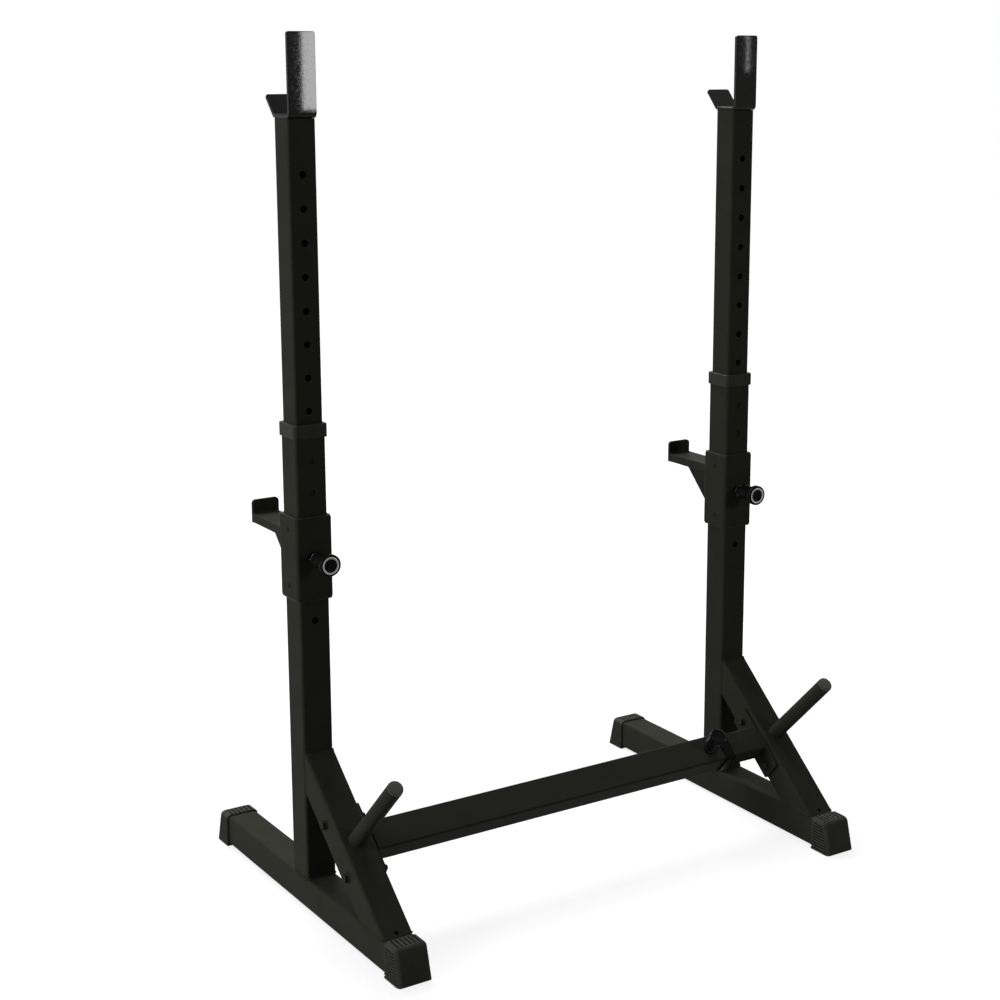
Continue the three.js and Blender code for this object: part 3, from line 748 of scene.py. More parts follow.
@dataclass
class BarHook:
    """The bent plate on an upper tube: guide, saddle and leaning lip, with the tube's top at z = 0.

    Attributes:
        width: in mm.
        thickness: in mm.
        bend: radius of the plate's middle surface in the bends, in mm.
        guide_top: in mm.
        saddle_half: half the tube's size in mm.
        overhang: of the saddle behind the tube, in mm.
        lip_top: in mm.
        lip_turn: the lip above the saddle's plane, in degrees.
        corner: radius of the free corners in mm.
    """

    width: float = 45.0
    thickness: float = 5.0
    bend: float = 5.5
    guide_top: float = 123.0
    saddle_half: float = 22.5
    overhang: float = 4.5
    lip_top: float = 30.0
    lip_turn: float = 48.0
    corner: float = 3.5

    def build(self, name: str) -> bpy.types.Object:
        """Bends the plate from a flat strip: bend, saddle, bend and lip are drawn out of its lower edge."""
        half, sheet = self.width / 2, self.thickness / 2
        angle = math.radians(self.lip_turn)
        centre_z = self.bend + sheet
        front = -self.saddle_half - sheet
        front_centre = front + self.bend
        back_centre = self.saddle_half + self.overhang - (self.bend + sheet) * math.sin(angle)
        lip_start = centre_z - (self.bend + sheet) * math.cos(angle)
        lip_length = (self.lip_top - lip_start) / math.sin(angle)

        clear()
        bpy.ops.mesh.primitive_plane_add(size=1)
        plate = added(name)
        middle = (self.guide_top + centre_z) / 2
        place(plate, shift(0, front, middle) @ turn(90, "X")
              @ Matrix.Diagonal((2 * half * MM, (self.guide_top - centre_z) * MM, 1, 1)))
        self._spin_edge(plate, (front, centre_z), (front_centre, centre_z), math.pi / 2)
        self._draw_edge(plate, (front_centre, sheet), (back_centre - front_centre, 0))
        self._spin_edge(plate, (back_centre, sheet), (back_centre, centre_z), angle)
        bend_end = (back_centre + self.bend * math.sin(angle), centre_z - self.bend * math.cos(angle))
        self._draw_edge(plate, bend_end, (lip_length * math.cos(angle), lip_length * math.sin(angle)))
        pick(plate, Pick.VERTS, lambda spot, way: abs(abs(spot.x) - half) < 0.1 and (
            spot.z > self.guide_top - 0.1 or (spot.y > self.saddle_half and spot.z > self.lip_top - 6)))
        bpy.ops.mesh.bevel(offset=self.corner * MM, segments=5, affect="VERTICES")
        face_outwards(plate)
        apply_modifier(plate, "SOLIDIFY", thickness=self.thickness * MM, offset=0.0, use_even_offset=True)
        face_outwards(plate)
        soften(plate, 0.7, 3)
        return plate

    def _pick_edge(self, plate: bpy.types.Object, spot: tuple) -> None:
        """Selects the crosswise edge through a point in Y and Z."""
        pick(plate, Pick.EDGES, lambda middle, way: abs(way.x) > 0.9 and (
            abs(middle.y - spot[0]) < 0.05 and abs(middle.z - spot[1]) < 0.05))

    def _spin_edge(self, plate: bpy.types.Object, spot: tuple, centre: tuple, angle: float) -> None:
        """Bends on from an edge about a centre in Y and Z."""
        self._pick_edge(plate, spot)
        bpy.ops.mesh.spin(steps=8, angle=-angle, center=(0, centre[0] * MM, centre[1] * MM), axis=(1, 0, 0))

    def _draw_edge(self, plate: bpy.types.Object, spot: tuple, way: tuple) -> None:
        """Draws the plate on from an edge by a step in Y and Z."""
        self._pick_edge(plate, spot)
        bpy.ops.mesh.extrude_edges_move(
            TRANSFORM_OT_translate={"value": (0, way[0] * MM, way[1] * MM), "orient_type": "GLOBAL"})


@dataclass
class PullPin:
    """A pull pin's housing, knob and face ring, standing out along -Y from a face at y = 0.

    Attributes:
        stroke: in mm.
        knob_end: from the mounting face to the knob's end, with the pin pulled out, in mm.
        knob_rim: radius of the knob's rim in mm.
        hex_flats: size of the housing's hexagon across its flats, in mm.
        hex_height: in mm.
        barrel: the housing's radius in mm.
    """

    stroke: float
    knob_end: float
    knob_rim: float
    hex_flats: float = 19.0
    hex_height: float = 5.2
    barrel: float = 8.5

    def housing(self, name: str) -> bpy.types.Object:
        """Turns the housing: a chamfered hexagon and a barrel with its bore."""
        nut = add_rod(name, self.hex_flats / math.sqrt(3), GAP, self.hex_height + GAP, sides=6)
        place(nut, turn(30, "Z"))
        round_top(nut, 0.8, 2)
        front = self.knob_end - 14 - self.stroke - 0.5
        bore = 3.35
        barrel = turn_profile("barrel", [
            (5.5, 0.4), (self.barrel - 0.6, 0.4), (self.barrel, 0.8), (self.barrel, front - 0.8),
            (self.barrel - 0.8, front), (bore, front), (bore, 3.0)])
        housing = merge([nut, barrel], name)
        soften(housing, 0.25, 2)
        return place(housing, turn(90, "X"))

    def knob(self, name: str) -> bpy.types.Object:
        """Turns the knob: a recessed face, a rim, a waist and a flared grip bored over the housing."""
        end, rim = self.knob_end, self.knob_rim
        back = GAP + self.hex_height + self.stroke + 0.5
        grip, waist = 12.8, 12.0
        face = rim - 3.2
        mid = (end - 9 + back) / 2
        knob = turn_profile(name, [
            (9.1, end - 14), (9.1, back + 0.4), (9.5, back), (grip - 1.2, back), (grip - 0.4, back + 0.5),
            (grip, back + 1.4), (grip - 0.2, back + 4), (waist + 0.1, mid - 2), (waist, mid),
            (waist + 0.3, mid + 2), (waist + 1.1, end - 12), (rim - 2.2, end - 9.6), (rim - 0.7, end - 8.8),
            (rim, end - 7.6), (rim, end - 1.6), (rim - 0.5, end - 0.5), (rim - 1.5, end),
            (face + 0.4, end), (face, end - 0.5), (face - 0.2, end - 0.55), (1.0, end - 0.6)])
        smooth(knob, 50)
        return place(knob, turn(90, "X"))

    def face_ring(self, name: str) -> bpy.types.Object:
        """Lays the ring of tick marks on the knob's face: a plain dial, with a thin circle round it."""
        face = self.knob_rim - 3.2
        level = self.knob_end - 0.55
        circle = turn_profile(name, [
            (face - 1.5, level), (face - 0.5, level),
            (face - 0.5, level + 0.12), (face - 1.5, level + 0.12)])
        pick(circle, Pick.FACES, lambda middle, way: abs(way.z) > 0.9 and middle.xy.length < 1)
        bpy.ops.mesh.delete(type="FACE")
        clear()
        ticks = []
        for index in range(24):
            tick = add_block("tick", (face - 3.4, -0.55, level), (face - 1.4, 0.55, level + 0.12))
            place(tick, turn(index * 15, "Z"))
            ticks.append(tick)
        ring = merge([circle, *ticks], name)
        return place(ring, turn(90, "X"))


def hex_head(name: str, height: float, bore: float = 0.0) -> bpy.types.Object:
    """Makes a flanged hexagon along +Z on a face at z = 0, 13 mm across the flats, chamfered on top.

    Args:
        name: the piece's name.
        height: in mm.
        bore: radius of a hole right through it in mm, or 0.

    Returns:
        The hexagon and its flange.
    """
    head = add_rod(name, 13 / math.sqrt(3), 1.5, height, sides=6)
    round_top(head, 0.9, 2)
    flange = turn_profile("flange", [(4.6, GAP), (8.5, GAP), (8.5, 1.1), (7.6, 1.9), (5.0, 2.0)], 40)
    if bore:
        for shell in (head, flange):
            carve(shell, [add_rod("bore", bore, -5, 20, 32)])
    whole = merge([head, flange], name)
    soften(whole, 0.2, 1)
    return whole


# ---------------------------------------------------------------- sub-assemblies


@dataclass
class StandFrame:
    """One stand's welded frame with its caps, collar, peg, end plate and bolts.

    Attributes:
        side: which stand.
        tube: outside size of the frame tube in mm.
        upright: its lowest and highest z in mm.
        base_half: half the base's length in mm.
        peg_length: in mm.
        peg_along: the peg, down the brace from its joint, in mm.
        plate_setback: the crossbar's end plate, behind the brace's front face, in mm.
        plate_width: in mm.
        plate_half: half its length in mm.
        plate_thickness: in mm.
        bolt_reach: the bolts, above and below the crossbar's middle, in mm.
        rake_length: the brace's front face, from the upright to the base, in mm.
    """

    side: Side
    tube: float = 50.0
    upright: tuple = (53.1, 774.8)
    base_half: float = 303.7
    peg_length: float = 174.0
    peg_along: float = 161.0
    plate_setback: float = 6.0
    plate_width: float = 43.0
    plate_half: float = 60.0
    plate_thickness: float = 5.0
    bolt_reach: float = 46.0
    rake_length: float = field(init=False)

    def __post_init__(self) -> None:
        """Works out the brace's length along its front face."""
        self.rake_length = (RAKE_JOINT - 52.8) / math.sin(RAKE)

    @property
    def body(self) -> str:
        """The body that the frame is."""
        return f"{self.side.label}_stand"

    def build(self) -> None:
        """Builds every piece of the frame."""
        self._tubes()
        self._caps_and_collar()
        self._peg()
        self._plate_and_bolts()
        self._welds()

    def _keep(self, piece: bpy.types.Object, finish: Finish, slot: str, node: str | None) -> None:
        """Hands a piece over for the node of the same stand."""
        nodes = (f"{self.side.label}_{node}",) if node else ()
        hand_over(piece, self.body, finish, nodes)

    def _tubes(self) -> None:
        """The base, the upright and the mitred brace."""
        label, frame = self.side.label, upright_axis(self.side)
        foot = Matrix.Translation((self.side.value * MM, 0, 0))

        base = SquareTube(self.tube, self.tube, 2 * self.base_half).build(f"{label}_base")
        place(base, foot @ shift(0, -self.base_half, 27.8) @ turn(-90, "X"))
        self._keep(base, POWDER_COAT, "frame", "base_tube")

        low, high = self.upright
        holes = [front_hole(PIN_HEIGHT + step * HOLE_PITCH - low) for step in range(-2, 4)]
        upright = SquareTube(self.tube, self.tube, high - low).build(f"{label}_upright", holes)
        self._keep(place(upright, frame @ shift(0, 0, low)), POWDER_COAT, "frame", "upright_tube")

        spare = 100.0
        long = self.rake_length + 2 * spare
        lean = 90 - math.degrees(RAKE)
        start = -self.rake_length - spare
        behind = add_block("behind", (-50, -GAP, -long), (50, long, long))
        place(behind, shift(0, -25, -start) @ turn(lean, "X"))
        below = add_block("below", (-50, -long, -long), (50, long, GAP))
        place(below, shift(0, -25, -start) @ shift(0, 0, -self.rake_length) @ turn(lean, "X"))
        drain = front_hole(8 - self.rake_length - start, 3.0)
        brace = SquareTube(self.tube, self.tube, long).build(f"{label}_brace", [behind, below, drain])
        place(brace, raked(self.side.value) @ shift(0, 25, start))
        self._keep(brace, POWDER_COAT, "frame", "brace_tube")

    def _caps_and_collar(self) -> None:
        """The two foot caps and the collar on the upright."""
        label = self.side.label
        foot = Matrix.Translation((self.side.value * MM, 0, 0))
        for name, heading in (("rear", 0), ("front", 180)):
            form = FootCap()
            cap = form.build(f"{label}_{name}_cap")
            self._keep(cap, CAP_RUBBER, "rubber", f"{name}_foot_cap")
            # painted shade on the groove floors
            form.shade_grooves(cap)
            place(cap, foot @ turn(heading, "Z"))
        collar = Collar((50, 50), (45, 45)).build(f"{label}_collar")
        place(collar, upright_axis(self.side) @ shift(0, 0, self.upright[1]))
        self._keep(collar, NYLON, "plastic", "upright_collar")

    def _peg(self) -> None:
        """The storage peg with its plug."""
        label = self.side.label
        lean = 180 - math.degrees(RAKE) - 45
        frame = raked(self.side.value) @ shift(0, 0, -self.peg_along) @ turn(lean, "X")
        length = self.peg_length
        peg = turn_profile(f"{label}_peg", [
            (11, 40), (11, -25), (12.5, -25), (12.5, length - 0.4), (12.1, length), (11.3, length),
            (11, length - 0.4), (11, 42)])
        inside = place(add_block("inside", (-50, -GAP, -50), (50, 50, 50)), turn(-lean, "X"))
        carve(peg, [inside])
        smooth(peg, 35)
        self._keep(place(peg, frame), POWDER_COAT, "frame", "storage_peg")
        plug = turn_profile(f"{label}_plug", [
            (8.7, 0), (8.7, -14), (10.7, -14), (10.7, 0.3), (11.7, 0.3), (12.0, 0.6), (12.0, 2.2),
            (11.8, 2.7), (11.4, 2.9), (11.1, 2.8), (10.9, 1.6), (10.3, 1.6), (10.1, 2.9), (9.7, 3.1),
            (8.0, 3.25), (4.0, 3.45), (0.5, 3.5)])
        smooth(plug, 40)
        self._keep(place(plug, frame @ shift(0, 0, length)), PLUG_PE, "plastic", "peg_plug")

    def _plate_and_bolts(self) -> None:
        """The crossbar's end plate, with its two bolts and nuts."""
        label, frame = self.side.label, raked(self.side.value)
        thick = self.plate_thickness
        near = 25 + GAP if self.side is Side.LEFT else -25 - GAP - thick
        back = self.plate_setback + self.plate_width
        plate = add_block(
            f"{label}_plate",
            (near, self.plate_setback, -BAR_ALONG - self.plate_half),
            (near + thick, back, -BAR_ALONG + self.plate_half))
        pick(plate, Pick.EDGES, lambda middle, way: abs(way.x) > 0.9)
        bevel_picked(4.0, 5)
        clear()
        soften(plate, 0.5, 2)
        self._keep(place(plate, frame), POWDER_COAT, "frame", "crossbar_plate")
        head_face, nut_face = min(-25.0, near), max(25.0, near + thick)
        middle = self.plate_setback + self.plate_width / 2
        for level, along in (
            ("upper", self.bolt_reach - BAR_ALONG), ("lower", -self.bolt_reach - BAR_ALONG)
        ):
            head = place(hex_head(f"{label}_{level}_head", 7.2), turn(-90, "Y"))
            shank = place(add_rod("shank", 4, 0.5, nut_face - head_face + 11.4, 32), turn(90, "Y"))
            bolt = merge([head, shank], f"{label}_{level}_head")
            place(bolt, frame @ shift(head_face, middle, along))
            self._keep(bolt, POWDER_COAT, "frame", f"{level}_bolt")
            nut = hex_head(f"{label}_{level}_nut_piece", 8.4, 4.2)
            place(nut, frame @ shift(nut_face, middle, along) @ turn(90, "Y"))
            self._keep(nut, POWDER_COAT, "frame", f"{level}_nut")

    def _welds(self) -> None:
        """The beads round the upright's foot, at both ends of the brace and round the peg's foot."""
        label, frame = self.side.label, upright_axis(self.side)
        half, bead = 25.4, WeldBead()
        foot = bead.build(f"{label}_foot_bead", [
            (-21, -half, 53), (21, -half, 53), (half, -21, 53), (half, 21, 53),
            (21, half, 53), (-21, half, 53), (-half, 21, 53), (-half, -21, 53)], True)
        self._keep(place(foot, frame), POWDER_COAT, "frame", None)
        rise = RAKE_JOINT - self.tube / math.cos(RAKE)
        for hand in (-1, 1):
            name = "outer" if hand * self.side.value > 0 else "inner"
            edge = hand * 24.2
            upper = bead.build(f"{label}_{name}_upper_bead", [
                (edge, -25.4, RAKE_JOINT - 3), (edge, -25.4, rise + 3)], False)
            self._keep(place(upper, frame), POWDER_COAT, "frame", None)
            tip = -25 - self.rake_length * math.cos(RAKE)
            lower = bead.build(f"{label}_{name}_lower_bead", [
                (edge, tip + 4, 53), (edge, tip + self.tube / math.sin(RAKE) - 4, 53)], False)
            self._keep(place(lower, frame), POWDER_COAT, "frame", None)
        across = bead.build(f"{label}_top_bead", [
            (-20, -25.6, RAKE_JOINT + 0.3), (20, -25.6, RAKE_JOINT + 0.3)], False)
        self._keep(place(across, frame), POWDER_COAT, "frame", None)
        circle = [(12.7 * math.cos(a), 12.7 * math.sin(a)) for a in [k * math.pi / 12 for k in range(24)]]
        ring = WeldBead(0.9, 2.0).build(f"{label}_peg_bead", [(x, -0.2, z) for x, z in circle], True)
        self._keep(
            place(ring, raked(self.side.value) @ shift(0, 0, -self.peg_along)), POWDER_COAT, "frame", None)


@dataclass
class UpperPost:
    """A telescoping upper tube with its bar hook.

    Attributes:
        side: which stand.
        low: the tube's lower end in mm.
        length: in mm.
        holes: how many pin holes its front has.
    """

    side: Side
    low: float = 577.8
    length: float = 650.0
    holes: int = 12

    def build(self) -> None:
        """Builds the tube and the hook."""
        label, body = self.side.label, f"{self.side.label}_upper"
        frame = upright_axis(self.side)
        first = PIN_HEIGHT + HOLE_PITCH / 2 - self.low
        holes = [front_hole(first + step * HOLE_PITCH) for step in range(self.holes)]
        tube = SquareTube(45, 45, self.length, corner=3.5).build(f"{label}_post", holes)
        hand_over(place(tube, frame @ shift(0, 0, self.low)), body, POWDER_COAT,
                  (f"{label}_upper_tube",))
        hook = BarHook().build(f"{label}_hook")
        top = self.low + self.length + GAP
        hand_over(place(hook, frame @ shift(0, 0, top)), body, GLOSS_COAT, (f"{label}_bar_hook",))
        bead = WeldBead(1.3, 2.2).build(f"{label}_hook_bead", [
            (-19.5, 22.9, -0.2), (19.5, 22.9, -0.2)], False)
        hand_over(place(bead, frame @ shift(0, 0, top)), body, POWDER_COAT)


@dataclass
class Carriage:
    """A sliding carriage with its liner, screws, spotter arm and pull pin.

    Attributes:
        side: which stand.
        middle: height of the sleeve's middle in mm.
        height: of the sleeve in mm.
        arm: the arm's lowest and highest z in mm.
    """

    side: Side
    middle: float = PIN_HEIGHT - 1.5
    height: float = 126.0
    arm: tuple = (594.5, 609.5)

    @property
    def body(self) -> str:
        """The body that the carriage is."""
        return f"{self.side.label}_carriage"

    def build(self) -> None:
        """Builds every piece of the carriage."""
        self._sleeve_and_liner()
        self._arm()
        self._pin()

    def _keep(self, piece: bpy.types.Object, finish: Finish, slot: str, node: str | None) -> None:
        """Hands a piece over for the node of the same carriage."""
        nodes = (f"{self.side.label}_{node}",) if node else ()
        hand_over(place(piece, upright_axis(self.side)), self.body, finish, nodes)

    def _sleeve_and_liner(self) -> None:
        """The square sleeve, the plastic liner with its two flanges, and the two screws."""
        label = self.side.label
        low, high = self.middle - self.height / 2, self.middle + self.height / 2
        sleeve = SquareTube(60, 60, self.height, 2.5, 5.0, 1.1).build(
            f"{label}_sleeve", [front_hole(PIN_HEIGHT - low)])
        self._keep(place(sleeve, shift(0, 0, low)), POWDER_COAT, "frame", "carriage_sleeve")

        liner = SquareTube(54.4, 54.4, self.height + 2 * GAP, 1.9, 3.75).build(
            f"{label}_liner", [front_hole(PIN_HEIGHT - low + GAP)])
        place(liner, shift(0, 0, low - GAP))
        rings = [liner]
        for level in (low - 2.3, high + GAP):
            ring = SquareTube(58.8, 58.8, 2.0, 4.1, 5.0, 0.5).build("flange")
            rings.append(place(ring, shift(0, 0, level)))
        self._keep(merge(rings, f"{label}_liner"), NYLON, "plastic", "carriage_liner")

        for level, offset in (("upper", 44.0), ("lower", -44.0)):
            screw = turn_profile(f"{label}_{level}_screw", [
                (1.6, -4.0), (1.6, 0), (3.4, 0), (3.35, 0.5), (2.9, 1.1), (2.3, 1.4), (1.35, 1.4),
                (1.3, 0.6), (0.3, 0.6)], 32)
            smooth(screw, 40)
            place(screw, shift(-30.3, 0, self.middle + offset) @ turn(-90, "Y"))
            self._keep(screw, POWDER_COAT, "steel", f"{level}_liner_screw")

    def _arm(self) -> None:
        """The flat tube, its upturned stop, the gusset below it and their welds."""
        label = self.side.label
        low, high = self.arm
        arm = SquareTube(45, 15, 110.4, 2.0, 2.0).build(f"{label}_arm")
        place(arm, shift(0, 30.3, (low + high) / 2) @ turn(-90, "X"))
        self._keep(arm, POWDER_COAT, "frame", "spotter_arm")

        stop = add_block(f"{label}_stop", (-22.5, 141, low), (22.5, 146, low + 36.5))
        pick(stop, Pick.EDGES, lambda middle, way: abs(way.y) > 0.9 and middle.z > high)
        bevel_picked(6.0, 6)
        clear()
        soften(stop, 0.5, 2)
        self._keep(stop, POWDER_COAT, "frame", "spotter_stop")

        top = low - GAP
        gusset = add_block(f"{label}_gusset", (-2, 30.3, top - 84), (2, 122.3, top))
        select_only(gusset)
        bpy.ops.object.mode_set(mode="EDIT")
        bpy.ops.mesh.select_all(action="SELECT")
        corner = Vector((0, 34.3, top - 84)) * MM
        slope = Vector((0, 88, 80))
        bpy.ops.mesh.bisect(
            plane_co=corner, plane_no=Vector((0, slope.z, -slope.y)), use_fill=True, clear_outer=True)
        clear()
        soften(gusset, 0.4, 2)
        self._keep(gusset, POWDER_COAT, "frame", "spotter_gusset")

        bead = WeldBead(1.4, 2.2)
        for name, line in (
            ("arm_top", [(-20, 30.6, high + 0.6), (20, 30.6, high + 0.6)]),
            ("stop_top", [(-20, 140.6, high + 0.5), (20, 140.6, high + 0.5)]),
            ("gusset_left", [(-2.6, 31, top - 0.6), (-2.6, 116, top - 0.6)]),
            ("gusset_right", [(2.6, 31, top - 0.6), (2.6, 116, top - 0.6)]),
            ("gusset_back_left", [(-2.6, 30.7, top - 80), (-2.6, 30.7, top - 4)]),
            ("gusset_back_right", [(2.6, 30.7, top - 80), (2.6, 30.7, top - 4)]),
        ):
            self._keep(bead.build(f"{label}_{name}_bead", line, False), POWDER_COAT, "frame", None)

    def _pin(self) -> None:
        """The pull pin's housing on the carriage, and its knob on the pin."""
        label = self.side.label
        frame = shift(0, -30, PIN_HEIGHT)
        pin = PullPin(8, 53, 17)
        self._keep(place(pin.housing(f"{label}_housing"), frame), BLACK_ZINC, "steel", "pin_housing")
        stand = upright_axis(self.side)
        knob = place(pin.knob(f"{label}_knob"), stand @ frame)
        hand_over(knob, f"{label}_pin", KNOB_ABS, (f"{label}_pull_knob",))
        ring = place(pin.face_ring(f"{label}_knob_ring"), stand @ frame)
        hand_over(ring, f"{label}_pin", WHITE_INK)


@dataclass
class Crossbar:
    """The telescoping crossbar with its collar and pull pin.

    Attributes:
        end: from the middle to a tube's end at its plate, in mm.
        outer_end: of the outer tube, in mm.
        inner_length: in mm.
        inner_holes: how many pin holes the inner tube has.
        pin_place: in mm.
    """

    end: float = 379.4
    outer_end: float = 309.0
    inner_length: float = 420.0
    inner_holes: int = 5
    pin_place: float = 267.0

    def build(self) -> None:
        """Builds every piece of the crossbar."""
        frame = raked(CENTRE_SHIFT)
        along = turn(90, "Y")

        outer = SquareTube(50, 40, self.outer_end + self.end, corner=3.0).build(
            "crossbar_outer", [front_hole(self.pin_place + self.end)])
        place(outer, frame @ shift(-self.end, 25, -BAR_ALONG) @ along)
        hand_over(outer, "left_stand", POWDER_COAT, ("crossbar_outer_tube",))

        start = self.end - self.inner_length
        holes = [
            front_hole(self.pin_place - step * HOLE_PITCH - start) for step in range(self.inner_holes)]
        inner = SquareTube(45, 35, self.inner_length, corner=3.0).build("crossbar_inner", holes)
        place(inner, frame @ shift(start, 25, -BAR_ALONG) @ along)
        hand_over(inner, "right_stand", POWDER_COAT, ("crossbar_inner_tube",))

        collar = Collar((50, 40), (45, 35)).build("crossbar_ring")
        place(collar, frame @ shift(self.outer_end, 25, -BAR_ALONG) @ along)
        hand_over(collar, "left_stand", KNOB_ABS, ("crossbar_collar",))

        pin = PullPin(6, 42, 15)
        mount = frame @ shift(self.pin_place, 5, -BAR_ALONG)
        housing = place(pin.housing("crossbar_housing"), mount)
        hand_over(housing, "left_stand", BLACK_ZINC, ("crossbar_pin_housing",))
        hand_over(place(pin.knob("crossbar_knob"), mount), "crossbar_pin", KNOB_ABS,
                  ("crossbar_pull_knob",))

        bead = WeldBead(1.6, 2.4)
        for name, x, body, half in (
            ("left", 0.8 - self.end, "left_stand", (24.5, 19.5)),
            ("right", self.end - 0.8, "right_stand", (22.0, 17.0)),
        ):
            up, out = half
            ring = bead.build(f"crossbar_{name}_bead", [
                (x, 25 - out, -BAR_ALONG - up + 2), (x, 25 - out, -BAR_ALONG + up - 2),
                (x, 25 - out + 2, -BAR_ALONG + up), (x, 25 + out - 2, -BAR_ALONG + up),
                (x, 25 + out, -BAR_ALONG + up - 2), (x, 25 + out, -BAR_ALONG - up + 2),
                (x, 25 + out - 2, -BAR_ALONG - up), (x, 25 - out + 2, -BAR_ALONG - up)], True)
            hand_over(place(ring, frame), body, POWDER_COAT)


def dress_inner_pieces(nodes: dict) -> None:
    """Gives the solids that stay, the pins and their springs, the plated steel's look."""
    for name in ("left", "right", "crossbar"):
        for piece in (nodes[f"{name}_pull_pin"], nodes[f"{name}_pin_spring"]):
            piece.data.materials.clear()
            piece.data.materials.append(ZINC_STEEL.material())


# ---------------------------------------------------------------- studio


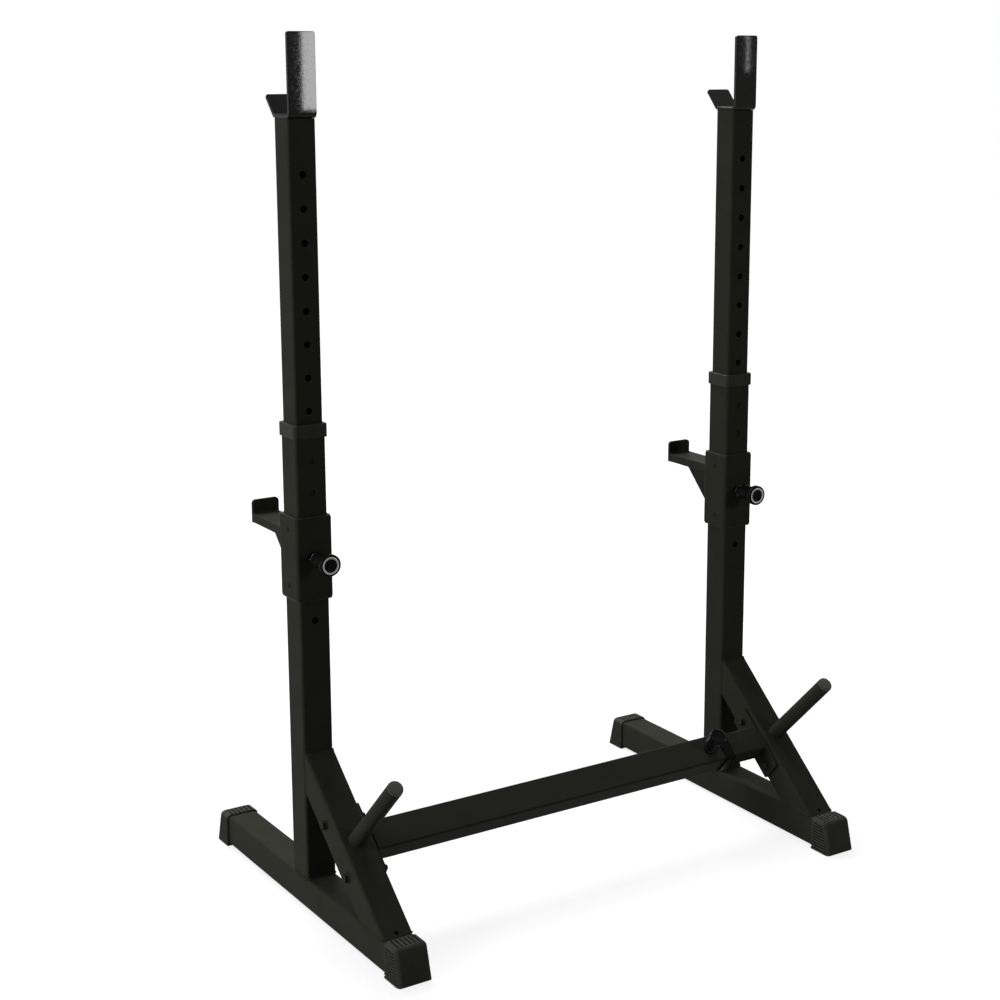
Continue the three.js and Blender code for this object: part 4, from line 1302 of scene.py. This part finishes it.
@dataclass
class Studio:
    """The floor, the lights and the camera of the photograph.

    Attributes:
        camera_at: in metres.
        azimuth: in degrees.
        pitch: below the horizontal, in degrees.
        roll: in degrees.
        focal: in mm, on a 36 mm sensor.
        lens_shift: of the frame against the lens, as shares of its width.
    """

    camera_at: tuple = (-1.625258, -2.517875, 1.327486)
    azimuth: float = -34.288
    pitch: float = 11.979
    roll: float = 0.248
    focal: float = 67.537
    lens_shift: tuple = (-0.0806, -0.0528)

    def build(self) -> None:
        """Sets up the whole studio."""
        self._camera()
        self._floor()
        self._world()
        self._softbox("back_softbox", (0.1, 3.2, 4.6), (0, 0, 0.5), (2.6, 2.6), 430)
        self._softbox("left_softbox", (-6.5, 0.4, 2.4), (0, 0, 0.6), (2.9, 3.5), 390)
        self._softbox("right_softbox", (3.6, 1.6, 1.6), (0, 0, 0.6), (2.0, 2.0), 90)
        self._softbox("hook_softbox", (1.021, -2.7, 1.37), (1.021, 0, 1.37), (0.26, 0.46), 17)
        self._softbox("hook_strip", (2.594, -2.7, 1.43), (2.594, 0, 1.43), (0.008, 0.36), 0.3)
        bpy.context.scene.view_settings.view_transform = "Standard"

    def _camera(self) -> None:
        """Puts the camera where the photograph was taken from."""
        a, e, r = (math.radians(v) for v in (self.azimuth, self.pitch, self.roll))
        forward = Vector((-math.sin(a) * math.cos(e), math.cos(a) * math.cos(e), -math.sin(e)))
        level = Vector((math.cos(a), math.sin(a), 0))
        rise = level.cross(forward)
        right = level * math.cos(r) + rise * math.sin(r)
        up = rise * math.cos(r) - level * math.sin(r)
        lens = bpy.data.cameras.new("photo_camera")
        lens.lens = self.focal
        lens.sensor_width = 36
        lens.shift_x, lens.shift_y = self.lens_shift
        lens.clip_start = 0.05
        camera = bpy.data.objects.new("photo_camera", lens)
        bpy.context.scene.collection.objects.link(camera)
        camera.matrix_world = Matrix.Translation(self.camera_at) @ Matrix(
            (right, up, -forward)).transposed().to_4x4()
        bpy.context.scene.camera = camera

    @staticmethod
    def _floor() -> None:
        """Lays the plain pale floor."""
        clear()
        bpy.ops.mesh.primitive_plane_add(size=60, location=(0, 0, -0.0004))
        floor = added("floor")
        made = bpy.data.materials.new("pale_floor")
        made.use_nodes = True
        tree = made.node_tree
        tree.nodes.clear()
        plain = add_node(tree, "ShaderNodeBsdfDiffuse", {"Color": (0.22, 0.22, 0.22, 1.0)})
        shaded = add_node(tree, "ShaderNodeBsdfDiffuse", {"Color": (0.12, 0.12, 0.12, 1.0)})
        where = add_node(tree, "ShaderNodeTexCoord").outputs["Object"]
        near = add_node(tree, "ShaderNodeMapping", {"Vector": where, "Scale": (0.2, 0.2, 0.2)})
        round_patch = add_node(
            tree, "ShaderNodeTexGradient", {"Vector": near.outputs[0]}, gradient_type="SPHERICAL")
        power = add_node(
            tree, "ShaderNodeMapRange", {0: round_patch.outputs[0], 1: 0.0, 2: 0.5, 3: 1.0, 4: 0.82})
        glow = add_node(
            tree, "ShaderNodeEmission", {"Color": (1.0, 1.0, 1.0, 1.0), "Strength": power.outputs[0]})
        white = add_node(tree, "ShaderNodeAddShader", {0: shaded.outputs[0], 1: glow.outputs[0]})
        seen = Studio._seen(tree)
        shader = add_node(tree, "ShaderNodeMixShader", {0: seen, 1: plain.outputs[0], 2: white.outputs[0]})
        add_node(tree, "ShaderNodeOutputMaterial", {"Surface": shader.outputs[0]})
        floor.data.materials.append(made)

    @staticmethod
    def _seen(tree: bpy.types.NodeTree) -> bpy.types.NodeSocket:
        """Gives 1 where the camera sees a surface, directly, in a gloss or through glass."""
        path = add_node(tree, "ShaderNodeLightPath")
        direct = add_node(
            tree, "ShaderNodeMath",
            {0: path.outputs["Is Camera Ray"], 1: path.outputs["Is Glossy Ray"]}, operation="ADD")
        return add_node(
            tree, "ShaderNodeMath",
            {0: direct.outputs[0], 1: path.outputs["Is Transmission Ray"]},
            operation="ADD", use_clamp=True).outputs[0]

    @staticmethod
    def _world() -> None:
        """Fills the room with even light, and shows white behind the floor's edge."""
        world = bpy.data.worlds.new("studio")
        world.use_nodes = True
        tree = world.node_tree
        tree.nodes.clear()
        power = add_node(tree, "ShaderNodeMapRange", {0: Studio._seen(tree), 3: 0.15, 4: 1.0})
        light = add_node(
            tree, "ShaderNodeBackground", {"Color": (1.0, 1.0, 1.0, 1.0), "Strength": power.outputs[0]})
        add_node(tree, "ShaderNodeOutputWorld", {"Surface": light.outputs[0]})
        bpy.context.scene.world = world

    @staticmethod
    def _softbox(name: str, at: tuple, aim: tuple, size: tuple, power: float) -> None:
        """Hangs a softbox.

        Args:
            name: the lamp's name.
            at: its place in metres.
            aim: the point that it faces.
            size: its two sides in metres.
            power: in watts.
        """
        lamp = bpy.data.lights.new(name, "AREA")
        lamp.shape = "RECTANGLE"
        lamp.size, lamp.size_y = size
        lamp.energy = power
        lamp.spread = math.radians(150)
        holder = bpy.data.objects.new(name, lamp)
        bpy.context.scene.collection.objects.link(holder)
        holder.location = at
        holder.rotation_euler = (Vector(aim) - Vector(at)).to_track_quat("-Z", "Y").to_euler()


def corners(bounds: tuple) -> list:
    """A box's two corners as plain lists."""
    return [list(map(float, corner)) for corner in bounds]


def main() -> None:
    """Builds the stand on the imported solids, and the studio round it."""
    logging.basicConfig(level=logging.INFO, format="%(name)s: %(message)s")
    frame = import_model()
    dress_inner_pieces(frame["nodes"])
    for side in Side:
        for assembly in (StandFrame(side), UpperPost(side), Carriage(side)):
            assembly.build()
    Crossbar().build()
    Studio().build()
    clear()


if __name__ == "__main__":
    main()
